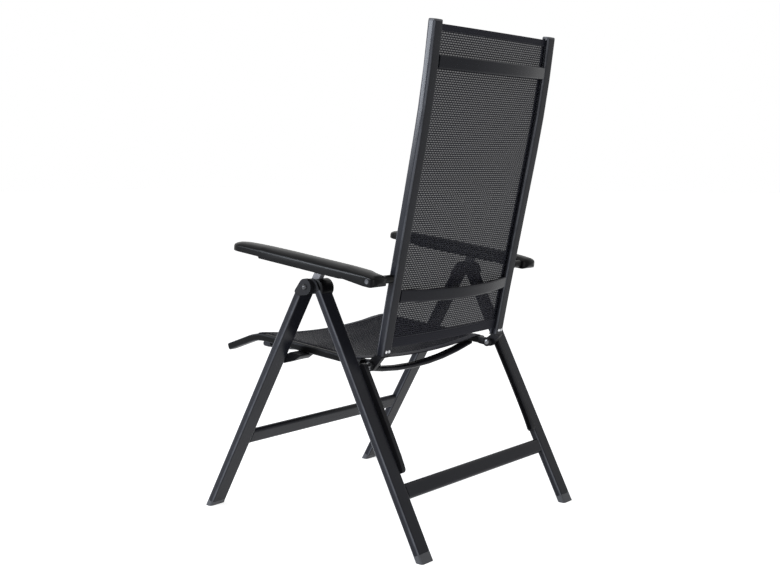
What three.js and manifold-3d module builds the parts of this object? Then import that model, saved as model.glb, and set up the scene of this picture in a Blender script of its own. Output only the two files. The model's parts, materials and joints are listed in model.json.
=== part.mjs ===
import * as THREE from 'three';
import { mergeVertices } from 'three/addons/utils/BufferGeometryUtils.js';
import Module from 'manifold-3d';

// A folding high-back sling chair of aluminium tube, in millimetres and degrees.
// X runs across the chair, the sitter faces -Y, and Z is up. Pieces are drawn in the side
// view, as points (Y, Z) with the leg hinge above Y = 0, and the finished chair is moved so
// that its origin is on the ground, in the middle of its footprint.

const wasm = await Module();
wasm.setup();

// Whole chair
const overallWidth = 612; // across the front legs
const seatedGap = 0.3; // between pieces that sit on each other
const slidingGap = 0.5; // between faces that slide past each other
const cutOverrun = 5; // how far a cut runs past the faces it opens

// Legs. Distances down a leg start at the hinge, offsets are square to the leg.
const hingeHeight = 549;
const rearLegAngle = 27.55; // off the vertical
const frontLegAngle = 29.8;
const legThickness = 18;
const frontLegWidth = 46;
const rearLegWidth = 40;
const rearLegInset = 10; // outer face of a rear leg, in from the front leg's
const rearLegOffset = 18.5; // centreline behind the hinge
const frontLegOffset = 12.5; // centreline ahead of the hinge
const legCorner = 6;
const legWall = 1.8;
const footCapLength = 17;
const plugLength = 24; // of every casting pushed into a tube
const rearBarDown = 482.5;
const rearBarHeight = 34;
const frontBarDown = 434.8;
const frontBarHeight = 40;
const legBarThickness = 15;
const legBarWall = 1.5;

// Leg hinge
const forkRadius = 18;
const forkInnerCheek = 7;
const forkBridgeDown = 18.6;
const frontTubeDown = 27;
const tongueRadius = 17;
const tongueHeelDown = 4; // centre of the rounded heel behind the tongue
const tongueHeelRadius = 11;
const rearTubeDown = 20;
const headCollar = 3.2;
const headCorner = 3;
const plugSinkShare = 0.25; // of the leg's thickness, how far a fork's plug runs into its bridge
const hingeBoltRadius = 4;
const hingeBoltHeadRadius = 6.5;
const hingeBoltHeadHeight = 4.7;
const boltClearance = 0.3; // round a bolt in its hole

// Fold: the seat turns on the front legs, its rear pivots run down tracks on the rear legs
const foldAngle = 50;
const seatFoldRatio = -1.96; // seat against front legs, per degree of fold
const seatPivotDown = 209;
const rearPivotReach = 234.4; // from the seat pivot, rearwards
const rearPivotRise = 6;
const trackDepth = 11.4;
const trackWidth = 17;
const grooveDepth = 7.5;
const rollerRadius = 4.2;
const rollerClearance = 0.35;
const trackOvertravel = 3; // degrees of fold that the groove allows past closed

// Seat
const seatLegGap = 27; // between a seat rail and the front leg beside it
const seatRailWidth = 25;
const seatRailHeight = 16.5;
const seatRailCorner = 4;
const railWall = 1.6;
const seatSlope = 5.1; // rises towards the front
const seatRunLength = 351.8; // rear pivot to the corner of the front bend
const seatBendRadius = 120;
const lipSlope = 19.7; // falls towards the front
const lipLength = 104.6;
const tipLength = 8;
const tipBulge = 3;
const keyway = 3.2; // width of the slot that holds a sling's edge
const keywayDepth = 5;
const keywayInset = 5; // seat rail's slot centre, in from its outer face
const seatRailSetback = 26; // rear pivot to the end of the seat rail
const seatTongueRadius = 9;
const tongueThickness = 10;
const pivotArmThickness = 22.5; // across the chair
const pivotArmClearance = 2.5; // to the front leg
const pivotArmBoss = 10.5;
const pivotArmReach = 34; // seat pivot to the middle of the foot under the rail
const pivotArmEnd = 8;
const pivotFootLength = 28;
const pivotFootThickness = 6;
const pivotRivetRadius = 4;
const pivotRivetHead = 7;
const pivotRivetHeadHeight = 3;
const pivotRivetTail = 6; // spread end inside the leg
const spreadTaper = 2; // length over which a spread end widens
const stayThickness = 11;
const stayDepth = 24;
const stayBow = 30;
const stayInset = 7; // end of a seat stay, in from the rail's outer face
const rearStayAhead = 68; // along the seat, from the rear pivot
const frontStayAhead = 322;
const slingThickness = 2;
const seatSlingSag = 14;
const seatSlingSetback = 32; // rear pivot to the sling's rear edge

// Rear pivot
const pivotBoltRadius = 4;
const pivotBoltHeadRadius = 7.5;
const pivotBoltHeadHeight = 3.7;
const pivotNutRadius = 8.5;
const pivotNutHeight = 4.2;
const spigotRadius = 2.5;
const rollerNeckRadius = 7;
const rollerNeckLength = 9;

// Back
const backRailInset = 6; // outer face of a back rail, in from the seat rail's
const backRailWidth = 30;
const backRailDepth = 20;
const backRailCorner = 6;
const backAngle = 78.8; // above the horizontal
const backFootUp = 28.1; // rear pivot to the lower end of the rail, along the back
const backFootBehind = 18.5;
const backRailLength = 706;
const backBow = 8;
const backBowShare = 2; // power of the height share, which moves the bow upwards
const backSteps = 8;
const footTongueRadius = 12;
const footCollar = 3.2;
const capHeight = 4.5;
const capRound = 3;
const backSlingSag = 5;
const backSlingBottom = 14; // above the lower end of the rail
const backSlingTop = 3; // below the upper end of the rail
const backBarHeight = 28;
const backBarThickness = 9;
const backBarBow = 28;
const backBarWall = 1.4;
const upperBarDrop = 78; // upper end of the rail to the bar's middle
const lowerBarUp = 132.5; // lower end of the rail to the bar's middle
const rivetUp = 10;
const rivetSpread = 9;
const rivetRadius = 2.4;
const rivetHeadRadius = 3.6;
const rivetHeadHeight = 1.4;
const rivetLength = 5;

// Arm pivot and armrests. Places on an armrest are (forward, up) from its pivot.
const armPivotAhead = 57.6; // from the rear pivot, rearwards
const armPivotAbove = 192;
const armSlope = 7.1;
const armOverhang = 10; // inner side of an armrest, in from the front leg's
const armTailSetback = 8; // inner side of the tail, out from the rest of the arm
const armTip = 416;
const armTail = 21.5;
const armTailRadius = 13.5;
const armWallHeight = 6.5; // top edge of the side walls
const armCrest = 19;
const rackUnder = -8.5;
const tipUnder = -4.5;
const rearStepUnder = -7;
const tailUnder = -11.5;
const rackFront = 320;
const rackRear = 80;
const stepLength = 4;
const rearStepLength = 14;
const armNoseLength = 26; // of the rounded front end
const armWall = 3;
const hollowRear = 24;
const rackWidth = 26;
const rackPlateFront = 296;
const rackPlateRear = 112;
const notchPitch = 18;
const notchCount = 7;
const notchRadius = 5.5;
const notchDepth = 3;
const postReach = 163; // arm pivot to the nose of the lock post, along the armrest
const postLength = 15;
const postNose = 4;
const postCorner = 3;
const postClearance = 0.35;
const postInset = 6; // outer face of the post, in from the rear leg's
const postWidth = 22;
const postFootRise = 14;
const postFootLength = 22.4;
const pinRadius = 4;
const pinFlange = 6;
const pinFlangeThickness = 3;
const pinLength = 72;
const bushCollarRadius = 9;
const bushRadius = 6;
const bushLength = 43;
const washerRadius = 8;
const washerThickness = 1.4;

// Fineness of round faces
const chordError = 0.25; // most that a flat may stand inside its true round
const cornerSteps = 2;
const bendSteps = 6;
const barSteps = 8;
const trackSteps = 12;
const domeSteps = 3;
const crownSteps = 6;
const noseSteps = 4;

// Stack of faces across the chair, from the middle outwards
const frontOuter = overallWidth / 2;
const frontInner = frontOuter - frontLegWidth;
const rearOuter = frontOuter - rearLegInset;
const rearInner = rearOuter - rearLegWidth;
const trackOuter = rearInner - seatedGap;
const trackInner = trackOuter - trackDepth;
const seatOuter = frontInner - seatLegGap;
const seatInner = seatOuter - seatRailWidth;
const backOuter = seatOuter - backRailInset;
const backInner = backOuter - backRailWidth;
const seatTongueOuter = seatInner + tongueThickness;
const backTongueInner = seatTongueOuter + slidingGap;
const backTongueOuter = backTongueInner + tongueThickness;
const forkSlotInner = frontInner + forkInnerCheek;

// Side view vectors
const at = (y, z) => new THREE.Vector2(y, z);
const radians = THREE.MathUtils.degToRad;
const heading = (angle) => at(Math.cos(radians(angle)), Math.sin(radians(angle)));
const turn = (v, angle) => v.clone().rotateAround(at(0, 0), radians(angle));
const plus = (origin, ...steps) => steps.reduce(
  (point, [direction, length]) => point.addScaledVector(direction, length), origin.clone());
const leftOf = (direction) => at(-direction.y, direction.x);

// Key points of the linkage
const hinge = at(0, hingeHeight);
const rearDown = heading(rearLegAngle - 90);
const rearOut = heading(rearLegAngle);
const frontDown = heading(-90 - frontLegAngle);
const frontOut = heading(180 - frontLegAngle);
const onRearLeg = (down, out) => plus(hinge, [rearDown, down], [rearOut, out]);
const onFrontLeg = (down, out) => plus(hinge, [frontDown, down], [frontOut, out]);
const rearLegReach = (hinge.y + rearOut.y * rearLegOffset) / -rearDown.y;
const frontLegReach = (hinge.y + frontOut.y * frontLegOffset) / -frontDown.y;
const seatPivot = onFrontLeg(seatPivotDown, frontLegOffset);
const rearPivot = plus(seatPivot, [at(1, 0), rearPivotReach], [at(0, 1), rearPivotRise]);
const armPivot = plus(rearPivot, [at(1, 0), armPivotAhead], [at(0, 1), armPivotAbove]);
const seatForward = heading(180 - seatSlope);
const seatUp = heading(90 - seatSlope);
const onSeat = (ahead, up) => plus(rearPivot, [seatForward, ahead], [seatUp, up]);
const backUp = heading(backAngle);
const backBehind = heading(backAngle - 90);
const armForward = heading(180 - armSlope);
const armUp = heading(90 - armSlope);
const onArm = (forward, up) => plus(armPivot, [armForward, forward], [armUp, up]);

// How many flats stand for a full round of a radius, always in fours
function sidesFor(radius) {
  const halfAngle = Math.acos(1 - chordError / Math.max(radius, chordError));
  return 4 * Math.ceil(Math.PI / halfAngle / 4);
}

// Solids: three.js makes the geometry, manifold only joins and cuts it
function solid(geometry) {
  const bare = geometry.clone();
  bare.deleteAttribute('normal');
  bare.deleteAttribute('uv');
  const merged = mergeVertices(bare);
  return new wasm.Manifold(new wasm.Mesh({
    numProp: 3,
    vertProperties: merged.attributes.position.array,
    triVerts: merged.index.array,
  }));
}

function geometryOf(manifold) {
  const { vertProperties, triVerts } = manifold.getMesh();
  const geometry = new THREE.BufferGeometry();
  geometry.setAttribute('position', new THREE.Float32BufferAttribute(vertProperties, 3));
  geometry.setIndex([...triVerts]);
  return geometry;
}

const join = (first, ...others) => others.reduce((sum, other) => sum.add(other), first);
const cut = (first, ...others) => others.reduce((rest, other) => rest.subtract(other), first);

const sideToWorld = new THREE.Matrix4().makeBasis(
  new THREE.Vector3(0, 1, 0), new THREE.Vector3(0, 0, 1), new THREE.Vector3(1, 0, 0));

// A side view outline, given its thickness across the chair from x0 to x1
function slab(outline, x0, x1) {
  const depth = x1 - x0;
  const settings = { depth, bevelEnabled: false, curveSegments: cornerSteps };
  const geometry = new THREE.ExtrudeGeometry(outline, settings);
  return solid(geometry.applyMatrix4(sideToWorld).translate(x0, 0, 0));
}

// A turned piece on an axis across the chair: the profile holds (radius, x) pairs
function turned(centre, profile) {
  const points = profile.map(([radius, x]) => new THREE.Vector2(radius, x));
  const sides = sidesFor(Math.max(...profile.map(([radius]) => radius)));
  const geometry = new THREE.LatheGeometry(points, sides).rotateZ(-Math.PI / 2);
  return solid(geometry.translate(0, centre.x, centre.y));
}

const rod = (centre, radius, x0, x1) => turned(centre, [[0, x0], [radius, x0], [radius, x1], [0, x1]]);

// The rubber band outline round a set of discs, each [centre, radius]
function belt(discs) {
  const points = discs.flatMap(([centre, radius]) => {
    const sides = sidesFor(radius);
    return Array.from({ length: sides }, (_, i) => plus(centre, [heading((i * 360) / sides), radius]));
  });
  points.sort((a, b) => a.x - b.x || a.y - b.y);
  const chain = (ordered) => {
    const kept = [];
    for (const point of ordered) {
      while (kept.length > 1) {
        const [before, last] = kept.slice(-2);
        if (last.clone().sub(before).cross(point.clone().sub(last)) > 0) break;
        kept.pop();
      }
      kept.push(point);
    }
    return kept.slice(0, -1);
  };
  return new THREE.Shape([...chain(points), ...chain([...points].reverse())]);
}

function rectangle(width, height, corner, centre = at(0, 0)) {
  const right = centre.x + width / 2;
  const left = centre.x - width / 2;
  const top = centre.y + height / 2;
  const bottom = centre.y - height / 2;
  const quarter = Math.PI / 2;
  const shape = new THREE.Shape();
  shape.absarc(right - corner, top - corner, corner, 0, quarter);
  shape.absarc(left + corner, top - corner, corner, quarter, 2 * quarter);
  shape.absarc(left + corner, bottom + corner, corner, 2 * quarter, 3 * quarter);
  shape.absarc(right - corner, bottom + corner, corner, 3 * quarter, 4 * quarter);
  return shape;
}

function hollow(width, height, corner, wall) {
  const shape = rectangle(width, height, corner);
  shape.holes.push(rectangle(width - 2 * wall, height - 2 * wall, corner - wall));
  return shape;
}

// A path in the side view with a ring of the section at each of its stations
class SidePath extends THREE.Curve {
  constructor(stations, x) {
    super();
    this.stations = stations;
    this.x = x;
  }

  station(t) {
    return this.stations[Math.round(t * (this.stations.length - 1))];
  }

  getUtoTmapping(u) {
    return u;
  }

  getPoint(t) {
    const [point] = this.station(t);
    return new THREE.Vector3(this.x, point.x, point.y);
  }

  getTangent(t) {
    const [, direction] = this.station(t);
    return new THREE.Vector3(0, direction.x, direction.y);
  }
}

// The section's x runs towards the middle of the chair and its y to the left of the path
function sweep(section, stations, x = 0) {
  const extrudePath = new SidePath(stations, x);
  const steps = stations.length - 1;
  return solid(new THREE.ExtrudeGeometry(section, { extrudePath, steps, curveSegments: cornerSteps }));
}

// A straight run for sweep
function run(from, to) {
  const direction = to.clone().sub(from).normalize();
  return [[from, direction], [to, direction]];
}

// Straight, round a bend, and straight again
function bentRun(from, corner, to, radius) {
  const into = corner.clone().sub(from).normalize();
  const out = to.clone().sub(corner).normalize();
  const angle = Math.asin(into.cross(out));
  const setback = radius * Math.tan(Math.abs(angle) / 2);
  const start = plus(corner, [into, -setback]);
  const centre = plus(start, [leftOf(into), radius * Math.sign(angle)]);
  const bend = Array.from({ length: bendSteps + 1 }, (_, i) => {
    const step = THREE.MathUtils.radToDeg(angle) * (i / bendSteps);
    return [plus(centre, [turn(leftOf(into), step), -radius * Math.sign(angle)]), turn(into, step)];
  });
  return [[from, into], ...bend, [to, out]];
}

// A closed skin over rings that all have the same number of points
function loft(rings) {
  const size = rings[0].length;
  const middle = (ring) => ring.reduce((sum, p) => sum.add(p), new THREE.Vector3()).divideScalar(size);
  const vertices = [...rings.flat(), middle(rings[0]), middle(rings.at(-1))];
  const faces = [];
  for (let i = 0; i < size; i += 1) {
    const next = (i + 1) % size;
    for (let r = 0; r < rings.length - 1; r += 1) {
      const a = r * size;
      const b = a + size;
      faces.push(a + i, a + next, b + next, a + i, b + next, b + i);
    }
    const last = (rings.length - 1) * size;
    faces.push(vertices.length - 2, next, i, vertices.length - 1, last + i, last + next);
  }
  const geometry = new THREE.BufferGeometry().setFromPoints(vertices);
  geometry.setIndex(faces);
  return solid(geometry);
}

// Bows a piece that spans the chair, most in the middle and not at its ends
function bowed(manifold, direction, bow, halfSpan) {
  const geometry = geometryOf(manifold);
  const place = geometry.attributes.position;
  for (let i = 0; i < place.count; i += 1) {
    const share = 1 - (place.getX(i) / halfSpan) ** 2;
    place.setY(i, place.getY(i) + direction.x * bow * share);
    place.setZ(i, place.getZ(i) + direction.y * bow * share);
  }
  return solid(geometry);
}

// Finishes
const finish = (color, roughness, metalness) => () =>
  new THREE.MeshStandardMaterial({ color, roughness, metalness });
const powderCoat = finish(0x2b2c30, 0.45, 0.3);
const casting = finish(0x222327, 0.5, 0.2);
const greyPlastic = finish(0x55565a, 0.6, 0);
const paleGreyPlastic = finish(0x85868a, 0.5, 0);
const blackPlastic = finish(0x202123, 0.4, 0);
const steel = finish(0xb4b6ba, 0.3, 1);
const mesh = finish(0x34353a, 0.9, 0);

const chair = new THREE.Group();

function add(name, geometry, material) {
  const piece = new THREE.Mesh(geometry, material());
  piece.name = name;
  chair.add(piece);
}

const piece = (name, manifold, material) => add(name, geometryOf(manifold), material);

// The sitter's left is +X: its piece is drawn there and mirrored for the right
function pair(name, manifold, material) {
  piece(`${name}_left`, manifold, material);
  const mirrored = geometryOf(manifold).scale(-1, 1, 1);
  const index = mirrored.index.array;
  for (let i = 0; i < index.length; i += 3) [index[i], index[i + 1]] = [index[i + 1], index[i]];
  add(`${name}_right`, mirrored, material);
}

// Legs

// One leg tube with its foot cap, which is cut level with the ground
function leg(name, onLeg, reach, offset, tubeDown, width, inner) {
  const middle = inner + width / 2;
  const tubeEnd = reach - footCapLength;
  const tube = sweep(hollow(width, legThickness, legCorner, legWall),
    run(onLeg(tubeDown, offset), onLeg(tubeEnd, offset)), middle);
  const plugWidth = width - 2 * (legWall + seatedGap);
  const plugDepth = legThickness - 2 * (legWall + seatedGap);
  const plug = (from, to) => sweep(rectangle(plugWidth, plugDepth, legCorner - legWall),
    run(onLeg(from, offset), onLeg(to, offset)), middle);
  const ground = slab(new THREE.Shape([
    plus(onLeg(reach, offset), [at(1, 0), -reach]), plus(onLeg(reach, offset), [at(1, 0), reach]),
    plus(onLeg(reach, offset), [at(1, 0), reach], [at(0, 1), -reach]),
    plus(onLeg(reach, offset), [at(1, 0), -reach], [at(0, 1), -reach]),
  ].reverse()), 0, overallWidth);
  const boot = sweep(rectangle(width, legThickness, legCorner),
    run(onLeg(tubeEnd + seatedGap, offset), onLeg(reach + footCapLength, offset)), middle);
  const cap = cut(join(boot, plug(tubeEnd - plugLength, tubeEnd + footCapLength / 2)), ground);
  pair(`${name}_foot_cap`, cap, greyPlastic);
  return { tube, plug };
}

const front = leg(
  'front', onFrontLeg, frontLegReach, frontLegOffset, frontTubeDown, frontLegWidth, frontInner);
const rear = leg(
  'rear', onRearLeg, rearLegReach, rearLegOffset, rearTubeDown, rearLegWidth, rearInner);
const rivetHole = rod(seatPivot, pivotRivetRadius + boltClearance,
  frontInner - cutOverrun, frontInner + legWall + cutOverrun);
pair('front_leg', cut(front.tube, rivetHole), powderCoat);
pair('rear_leg', rear.tube, powderCoat);

// A flat oval bar across the chair, with its long side along the leg
function crossbar(name, onLeg, down, offset, height, inner) {
  const along = onLeg(1, 0).sub(onLeg(0, 0));
  const round = legBarThickness / 2;
  const ends = [-1, 1].map((side) => plus(onLeg(down, offset), [along, side * (height / 2 - round)]));
  const outline = belt(ends.map((end) => [end, round]));
  outline.holes.push(new THREE.Path(belt(ends.map((end) => [end, round - legBarWall])).getPoints()));
  const half = inner - seatedGap;
  piece(name, slab(outline, -half, half), powderCoat);
}

crossbar('front_leg_crossbar', onFrontLeg, frontBarDown, frontLegOffset, frontBarHeight, frontInner);
crossbar('rear_leg_crossbar', onRearLeg, rearBarDown, rearLegOffset, rearBarHeight, rearInner);

// The corners of a stretch of leg, for a slab or a belt
function legStretch(onLeg, offset, from, to, corner) {
  const half = legThickness / 2 - corner;
  return [from + corner, to - corner].flatMap((down) =>
    [-half, half].map((side) => [onLeg(down, offset + side), corner]));
}

// Hinge: a fork on the front leg, a tongue on the rear leg
const boltHole = rod(hinge, hingeBoltRadius + boltClearance, rearInner - cutOverrun, frontOuter + cutOverrun);
const heelPlace = onRearLeg(tongueHeelDown, rearLegOffset + legThickness / 2 - tongueHeelRadius);
const tongueHeel = [heelPlace, tongueHeelRadius];
const rearCollar = legStretch(onRearLeg, rearLegOffset, rearTubeDown - headCollar - seatedGap,
  rearTubeDown - seatedGap, headCollar / 2);
const rearHead = join(
  slab(belt([[hinge, tongueRadius], tongueHeel]), forkSlotInner + slidingGap, rearOuter),
  slab(belt([tongueHeel, ...rearCollar]), forkSlotInner + slidingGap, rearOuter),
  slab(belt(rearCollar), rearInner, rearOuter),
  rear.plug(rearTubeDown - headCollar, rearTubeDown + plugLength));
pair('rear_leg_head', cut(rearHead, boltHole), casting);

const forkStretch = legStretch(
  onFrontLeg, frontLegOffset, forkBridgeDown, frontTubeDown - seatedGap, headCorner);
const cheek = belt([[hinge, forkRadius], ...forkStretch]);
const frontHead = join(
  slab(cheek, frontInner, forkSlotInner),
  slab(cheek, rearOuter + slidingGap, frontOuter),
  slab(belt(forkStretch), frontInner, frontOuter),
  front.plug(forkBridgeDown + legThickness * plugSinkShare, frontTubeDown + plugLength));
pair('front_leg_head', cut(frontHead, boltHole), casting);

// A domed head that starts at x0 and rises towards x1
function dome(radius, x0, x1) {
  const steps = Array.from({ length: domeSteps + 1 }, (_, i) => radians((i * 90) / domeSteps));
  return steps.map((angle) => [radius * Math.cos(angle), x0 + (x1 - x0) * Math.sin(angle)]);
}

const hingeBoltInner = frontInner - seatedGap;
const hingeBoltOuter = frontOuter + seatedGap;
pair('leg_hinge_bolt', turned(hinge, [
  ...dome(hingeBoltHeadRadius, hingeBoltInner, hingeBoltInner - hingeBoltHeadHeight).reverse(),
  [hingeBoltRadius, hingeBoltInner],
  [hingeBoltRadius, hingeBoltOuter],
  ...dome(hingeBoltHeadRadius, hingeBoltOuter, hingeBoltOuter + hingeBoltHeadHeight),
]), steel);

// Lock post that the armrest's rack drops onto
const postDrop = rackUnder - postClearance;
const postOutline = belt([
  [onArm(postReach, postDrop - postNose), postNose],
  [onArm(postReach - postLength, postDrop - postNose - postClearance), postNose],
  [plus(hinge, [at(0, 1), postFootRise]), postCorner],
  [plus(hinge, [at(0, 1), postFootRise + postCorner], [at(1, 0), postFootLength]), postCorner],
]);
const postSeat = belt([[hinge, tongueRadius + seatedGap], [heelPlace, tongueHeelRadius + seatedGap]]);
const postOuter = rearOuter - postInset;
pair('lock_post', cut(slab(postOutline, postOuter - postWidth, postOuter),
  slab(postSeat, rearInner, frontOuter)), paleGreyPlastic);

// Guide tracks

// Where the rear pivot is when the front legs have folded by an angle
function rearPivotAt(fold) {
  const toSeatPivot = turn(seatPivot.clone().sub(hinge), fold);
  const toRearPivot = turn(rearPivot.clone().sub(seatPivot), fold * (1 + seatFoldRatio));
  return hinge.clone().add(toSeatPivot).add(toRearPivot);
}

// The outline of a round-ended strip of a given half width along the pivot's path
function trackStrip(halfWidth) {
  const lastFold = foldAngle + trackOvertravel;
  const folds = Array.from({ length: trackSteps + 1 }, (_, i) => (i * lastFold) / trackSteps);
  const spots = folds.map(rearPivotAt);
  const ways = folds.map((fold) => rearPivotAt(fold + 1).sub(rearPivotAt(fold)).normalize());
  const side = (sign) => spots.map((spot, i) => plus(spot, [leftOf(ways[i]), sign * halfWidth]));
  const ends = sidesFor(halfWidth) / 2;
  const end = (centre, direction) => Array.from({ length: ends - 1 }, (_, i) =>
    plus(centre, [turn(direction, 90 - ((i + 1) * 180) / ends), halfWidth]));
  const outline = [
    ...side(-1), ...end(spots.at(-1), ways.at(-1)).reverse(),
    ...side(1).reverse(), ...end(spots[0], ways[0].clone().negate()).reverse(),
  ];
  return new THREE.Shape(outline);
}

const grooveHalf = rollerRadius + rollerClearance;
pair('guide_track', cut(slab(trackStrip(trackWidth / 2), trackInner, trackOuter),
  slab(trackStrip(grooveHalf), trackInner - cutOverrun, trackInner + grooveDepth)), casting);

// Rear pivots: bolt through seat and back, roller in the track
const boltInner = seatInner - seatedGap;
const nutInner = backTongueOuter + seatedGap;
const nutOuter = nutInner + pivotNutHeight;
const rollerInner = nutOuter + seatedGap;
const rollerOuter = trackInner + grooveDepth - slidingGap;
pair('rear_pivot_bolt', turned(rearPivot, [
  ...dome(pivotBoltHeadRadius, boltInner, boltInner - pivotBoltHeadHeight).reverse(),
  [pivotBoltRadius, boltInner],
  [pivotBoltRadius, nutInner],
  [pivotNutRadius, nutInner],
  [pivotNutRadius, nutOuter],
  [spigotRadius, nutOuter],
  [spigotRadius, rollerOuter],
  [0, rollerOuter],
]), steel);
const rollerNeckOuter = Math.min(rollerInner + rollerNeckLength, trackInner - slidingGap);
pair('track_roller', turned(rearPivot, [
  [spigotRadius + boltClearance, rollerInner],
  [rollerNeckRadius, rollerInner],
  [rollerNeckRadius, rollerNeckOuter],
  [rollerRadius, rollerNeckOuter],
  [rollerRadius, rollerOuter],
  [spigotRadius + boltClearance, rollerOuter],
  [spigotRadius + boltClearance, rollerInner],
]), blackPlastic);
const pivotHole = rod(rearPivot, pivotBoltRadius + boltClearance, boltInner, nutInner);

// Seat
const seatMiddle = seatOuter - seatRailWidth / 2;
const seatCorner = onSeat(seatRunLength, 0);
const lipDirection = heading(180 + lipSlope);
const seatTip = plus(seatCorner, [lipDirection, lipLength - tipBulge]);
const seatTubeEnd = onSeat(seatRailSetback, 0);
const seatStations = bentRun(seatTip, seatCorner, seatTubeEnd, seatBendRadius);

// A rail section with a slot for the sling's edge in its top face
function seatSection() {
  const halfWidth = seatRailWidth / 2;
  const top = seatRailHeight / 2;
  const slot = -(halfWidth - keywayInset);
  const corner = seatRailCorner;
  const shape = new THREE.Shape();
  shape.moveTo(slot - keyway / 2, top);
  shape.absarc(-halfWidth + corner, top - corner, corner, Math.PI / 2, Math.PI);
  shape.absarc(-halfWidth + corner, -top + corner, corner, Math.PI, 1.5 * Math.PI);
  shape.absarc(halfWidth - corner, -top + corner, corner, 1.5 * Math.PI, 2 * Math.PI);
  shape.absarc(halfWidth - corner, top - corner, corner, 0, Math.PI / 2);
  shape.lineTo(slot + keyway / 2, top);
  shape.lineTo(slot + keyway / 2, top - keywayDepth);
  shape.lineTo(slot - keyway / 2, top - keywayDepth);
  const boreTop = top - keywayDepth - railWall;
  const boreBottom = -top + railWall;
  shape.holes.push(rectangle(seatRailWidth - 2 * railWall, boreTop - boreBottom, corner - railWall,
    at(0, (boreTop + boreBottom) / 2)));
  return shape;
}

pair('seat_rail', sweep(seatSection(), seatStations, seatMiddle), powderCoat);

// A plug that fills the seat rail's bore between two points
function seatPlug(from, to) {
  const boreTop = seatRailHeight / 2 - keywayDepth - railWall;
  const boreBottom = -seatRailHeight / 2 + railWall;
  const section = rectangle(seatRailWidth - 2 * (railWall + seatedGap), boreTop - boreBottom - 2 * seatedGap,
    seatRailCorner - railWall, at(0, (boreTop + boreBottom) / 2));
  return sweep(section, run(from, to), seatMiddle);
}

// Rounded tip: rings of the rail's outline that draw in over its length
function tipRings(width, height, corner, centre, x, along, up, length, bulge) {
  const outline = rectangle(width, height, corner).getPoints(cornerSteps).slice(0, -1);
  return Array.from({ length: noseSteps }, (_, i) => {
    const angle = radians((i * 90) / noseSteps);
    const ahead = i === 0 ? 0 : length + bulge * Math.sin(angle);
    const shrink = bulge * (1 - Math.cos(angle));
    return outline.map((p) => {
      const across = p.x * (1 - (2 * shrink) / width);
      const point = plus(centre, [along, ahead], [up, p.y * (1 - (2 * shrink) / height)]);
      return new THREE.Vector3(x + across, point.x, point.y);
    });
  });
}

const lipUp = leftOf(lipDirection).negate();
const tipSeat = plus(seatTip, [lipDirection, seatedGap]);
const tipDome = loft(tipRings(seatRailWidth, seatRailHeight, seatRailCorner, tipSeat, seatMiddle,
  lipDirection, lipUp, seatedGap, tipBulge));
const tipPlug = seatPlug(
  plus(seatTip, [lipDirection, 2 * seatedGap]), plus(seatTip, [lipDirection, -tipLength]));
pair('seat_rail_tip', join(tipDome, tipPlug), blackPlastic);

// Rear end of the seat rail: a plug that ends in a tongue round the rear pivot
const seatEyeOutline = belt([
  [rearPivot, seatTongueRadius],
  [onSeat(seatRailSetback - seatedGap - railWall, seatRailHeight / 2 - railWall), railWall],
  [onSeat(seatRailSetback - seatedGap - railWall, -seatRailHeight / 2 + railWall), railWall],
]);
const seatEye = join(slab(seatEyeOutline, seatInner, seatTongueOuter),
  seatPlug(onSeat(seatRailSetback + plugLength, 0), onSeat(seatRailSetback - railWall, 0)));
pair('seat_rear_bracket', cut(seatEye, pivotHole), casting);

// Seat pivots: an arm from under the rail out to the front leg
const armFoot = onSeat(rearPivot.distanceTo(seatPivot) - pivotArmReach, -seatRailHeight / 2 - seatedGap);
const pivotArmOuter = frontInner - pivotArmClearance;
const pivotArmInner = pivotArmOuter - pivotArmThickness;
const footRound = pivotFootThickness / 2;
const footEnds = [-1, 1].map((side) => [
  plus(armFoot, [seatForward, (side * pivotFootLength) / 2], [seatUp, -footRound]), footRound,
]);
const armKnee = plus(armFoot, [seatUp, -pivotArmEnd]);
const pivotArm = join(
  slab(belt([[seatPivot, pivotArmBoss], [armKnee, pivotArmEnd]]), pivotArmInner, pivotArmOuter),
  slab(belt([[armKnee, pivotArmEnd], ...footEnds]), seatInner + keywayInset, pivotArmOuter));
pair('seat_pivot_bracket', cut(pivotArm, rod(seatPivot, pivotRivetRadius + boltClearance,
  pivotArmInner - cutOverrun, frontOuter)), casting);
const rivetFlange = frontInner + legWall + seatedGap;
const rivetHeadInner = pivotArmInner - seatedGap;
pair('seat_pivot_rivet', turned(seatPivot, [
  ...dome(pivotRivetHead, rivetHeadInner, rivetHeadInner - pivotRivetHeadHeight).reverse(),
  [pivotRivetRadius, rivetHeadInner],
  [pivotRivetRadius, rivetFlange],
  [pivotRivetTail, rivetFlange + spreadTaper],
  [pivotRivetTail, rivetFlange + pivotRivetHeadHeight],
  [0, rivetFlange + pivotRivetHeadHeight],
]), steel);

// Stays under the seat: flat bars that dip in the middle, clear of the sling
function seatStay(name, ahead) {
  const top = onSeat(ahead, -seatRailHeight / 2 - seatedGap);
  const round = stayThickness / 2;
  const ends = [-1, 1].map((side) => [
    plus(top, [seatForward, side * (stayDepth / 2 - round)], [seatUp, -round]), round]);
  const half = seatOuter - stayInset;
  const outline = belt(ends);
  const bar = new THREE.ExtrudeGeometry(outline, { depth: 2 * half, steps: barSteps, bevelEnabled: false });
  const straight = solid(bar.applyMatrix4(sideToWorld).translate(-half, 0, 0));
  piece(name, bowed(straight, seatUp.clone().negate(), stayBow, half), powderCoat);
}

seatStay('seat_rear_stay', rearStayAhead);
seatStay('seat_front_stay', frontStayAhead);

// A sling's section: flat over its rails, sagging between them
function sagLine(half, rest, sag, lift) {
  const steps = barSteps;
  return Array.from({ length: steps + 1 }, (_, i) => {
    const share = (2 * i) / steps - 1;
    return at(half * share, rest - sag * (1 - share ** 2) + lift);
  });
}

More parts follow.
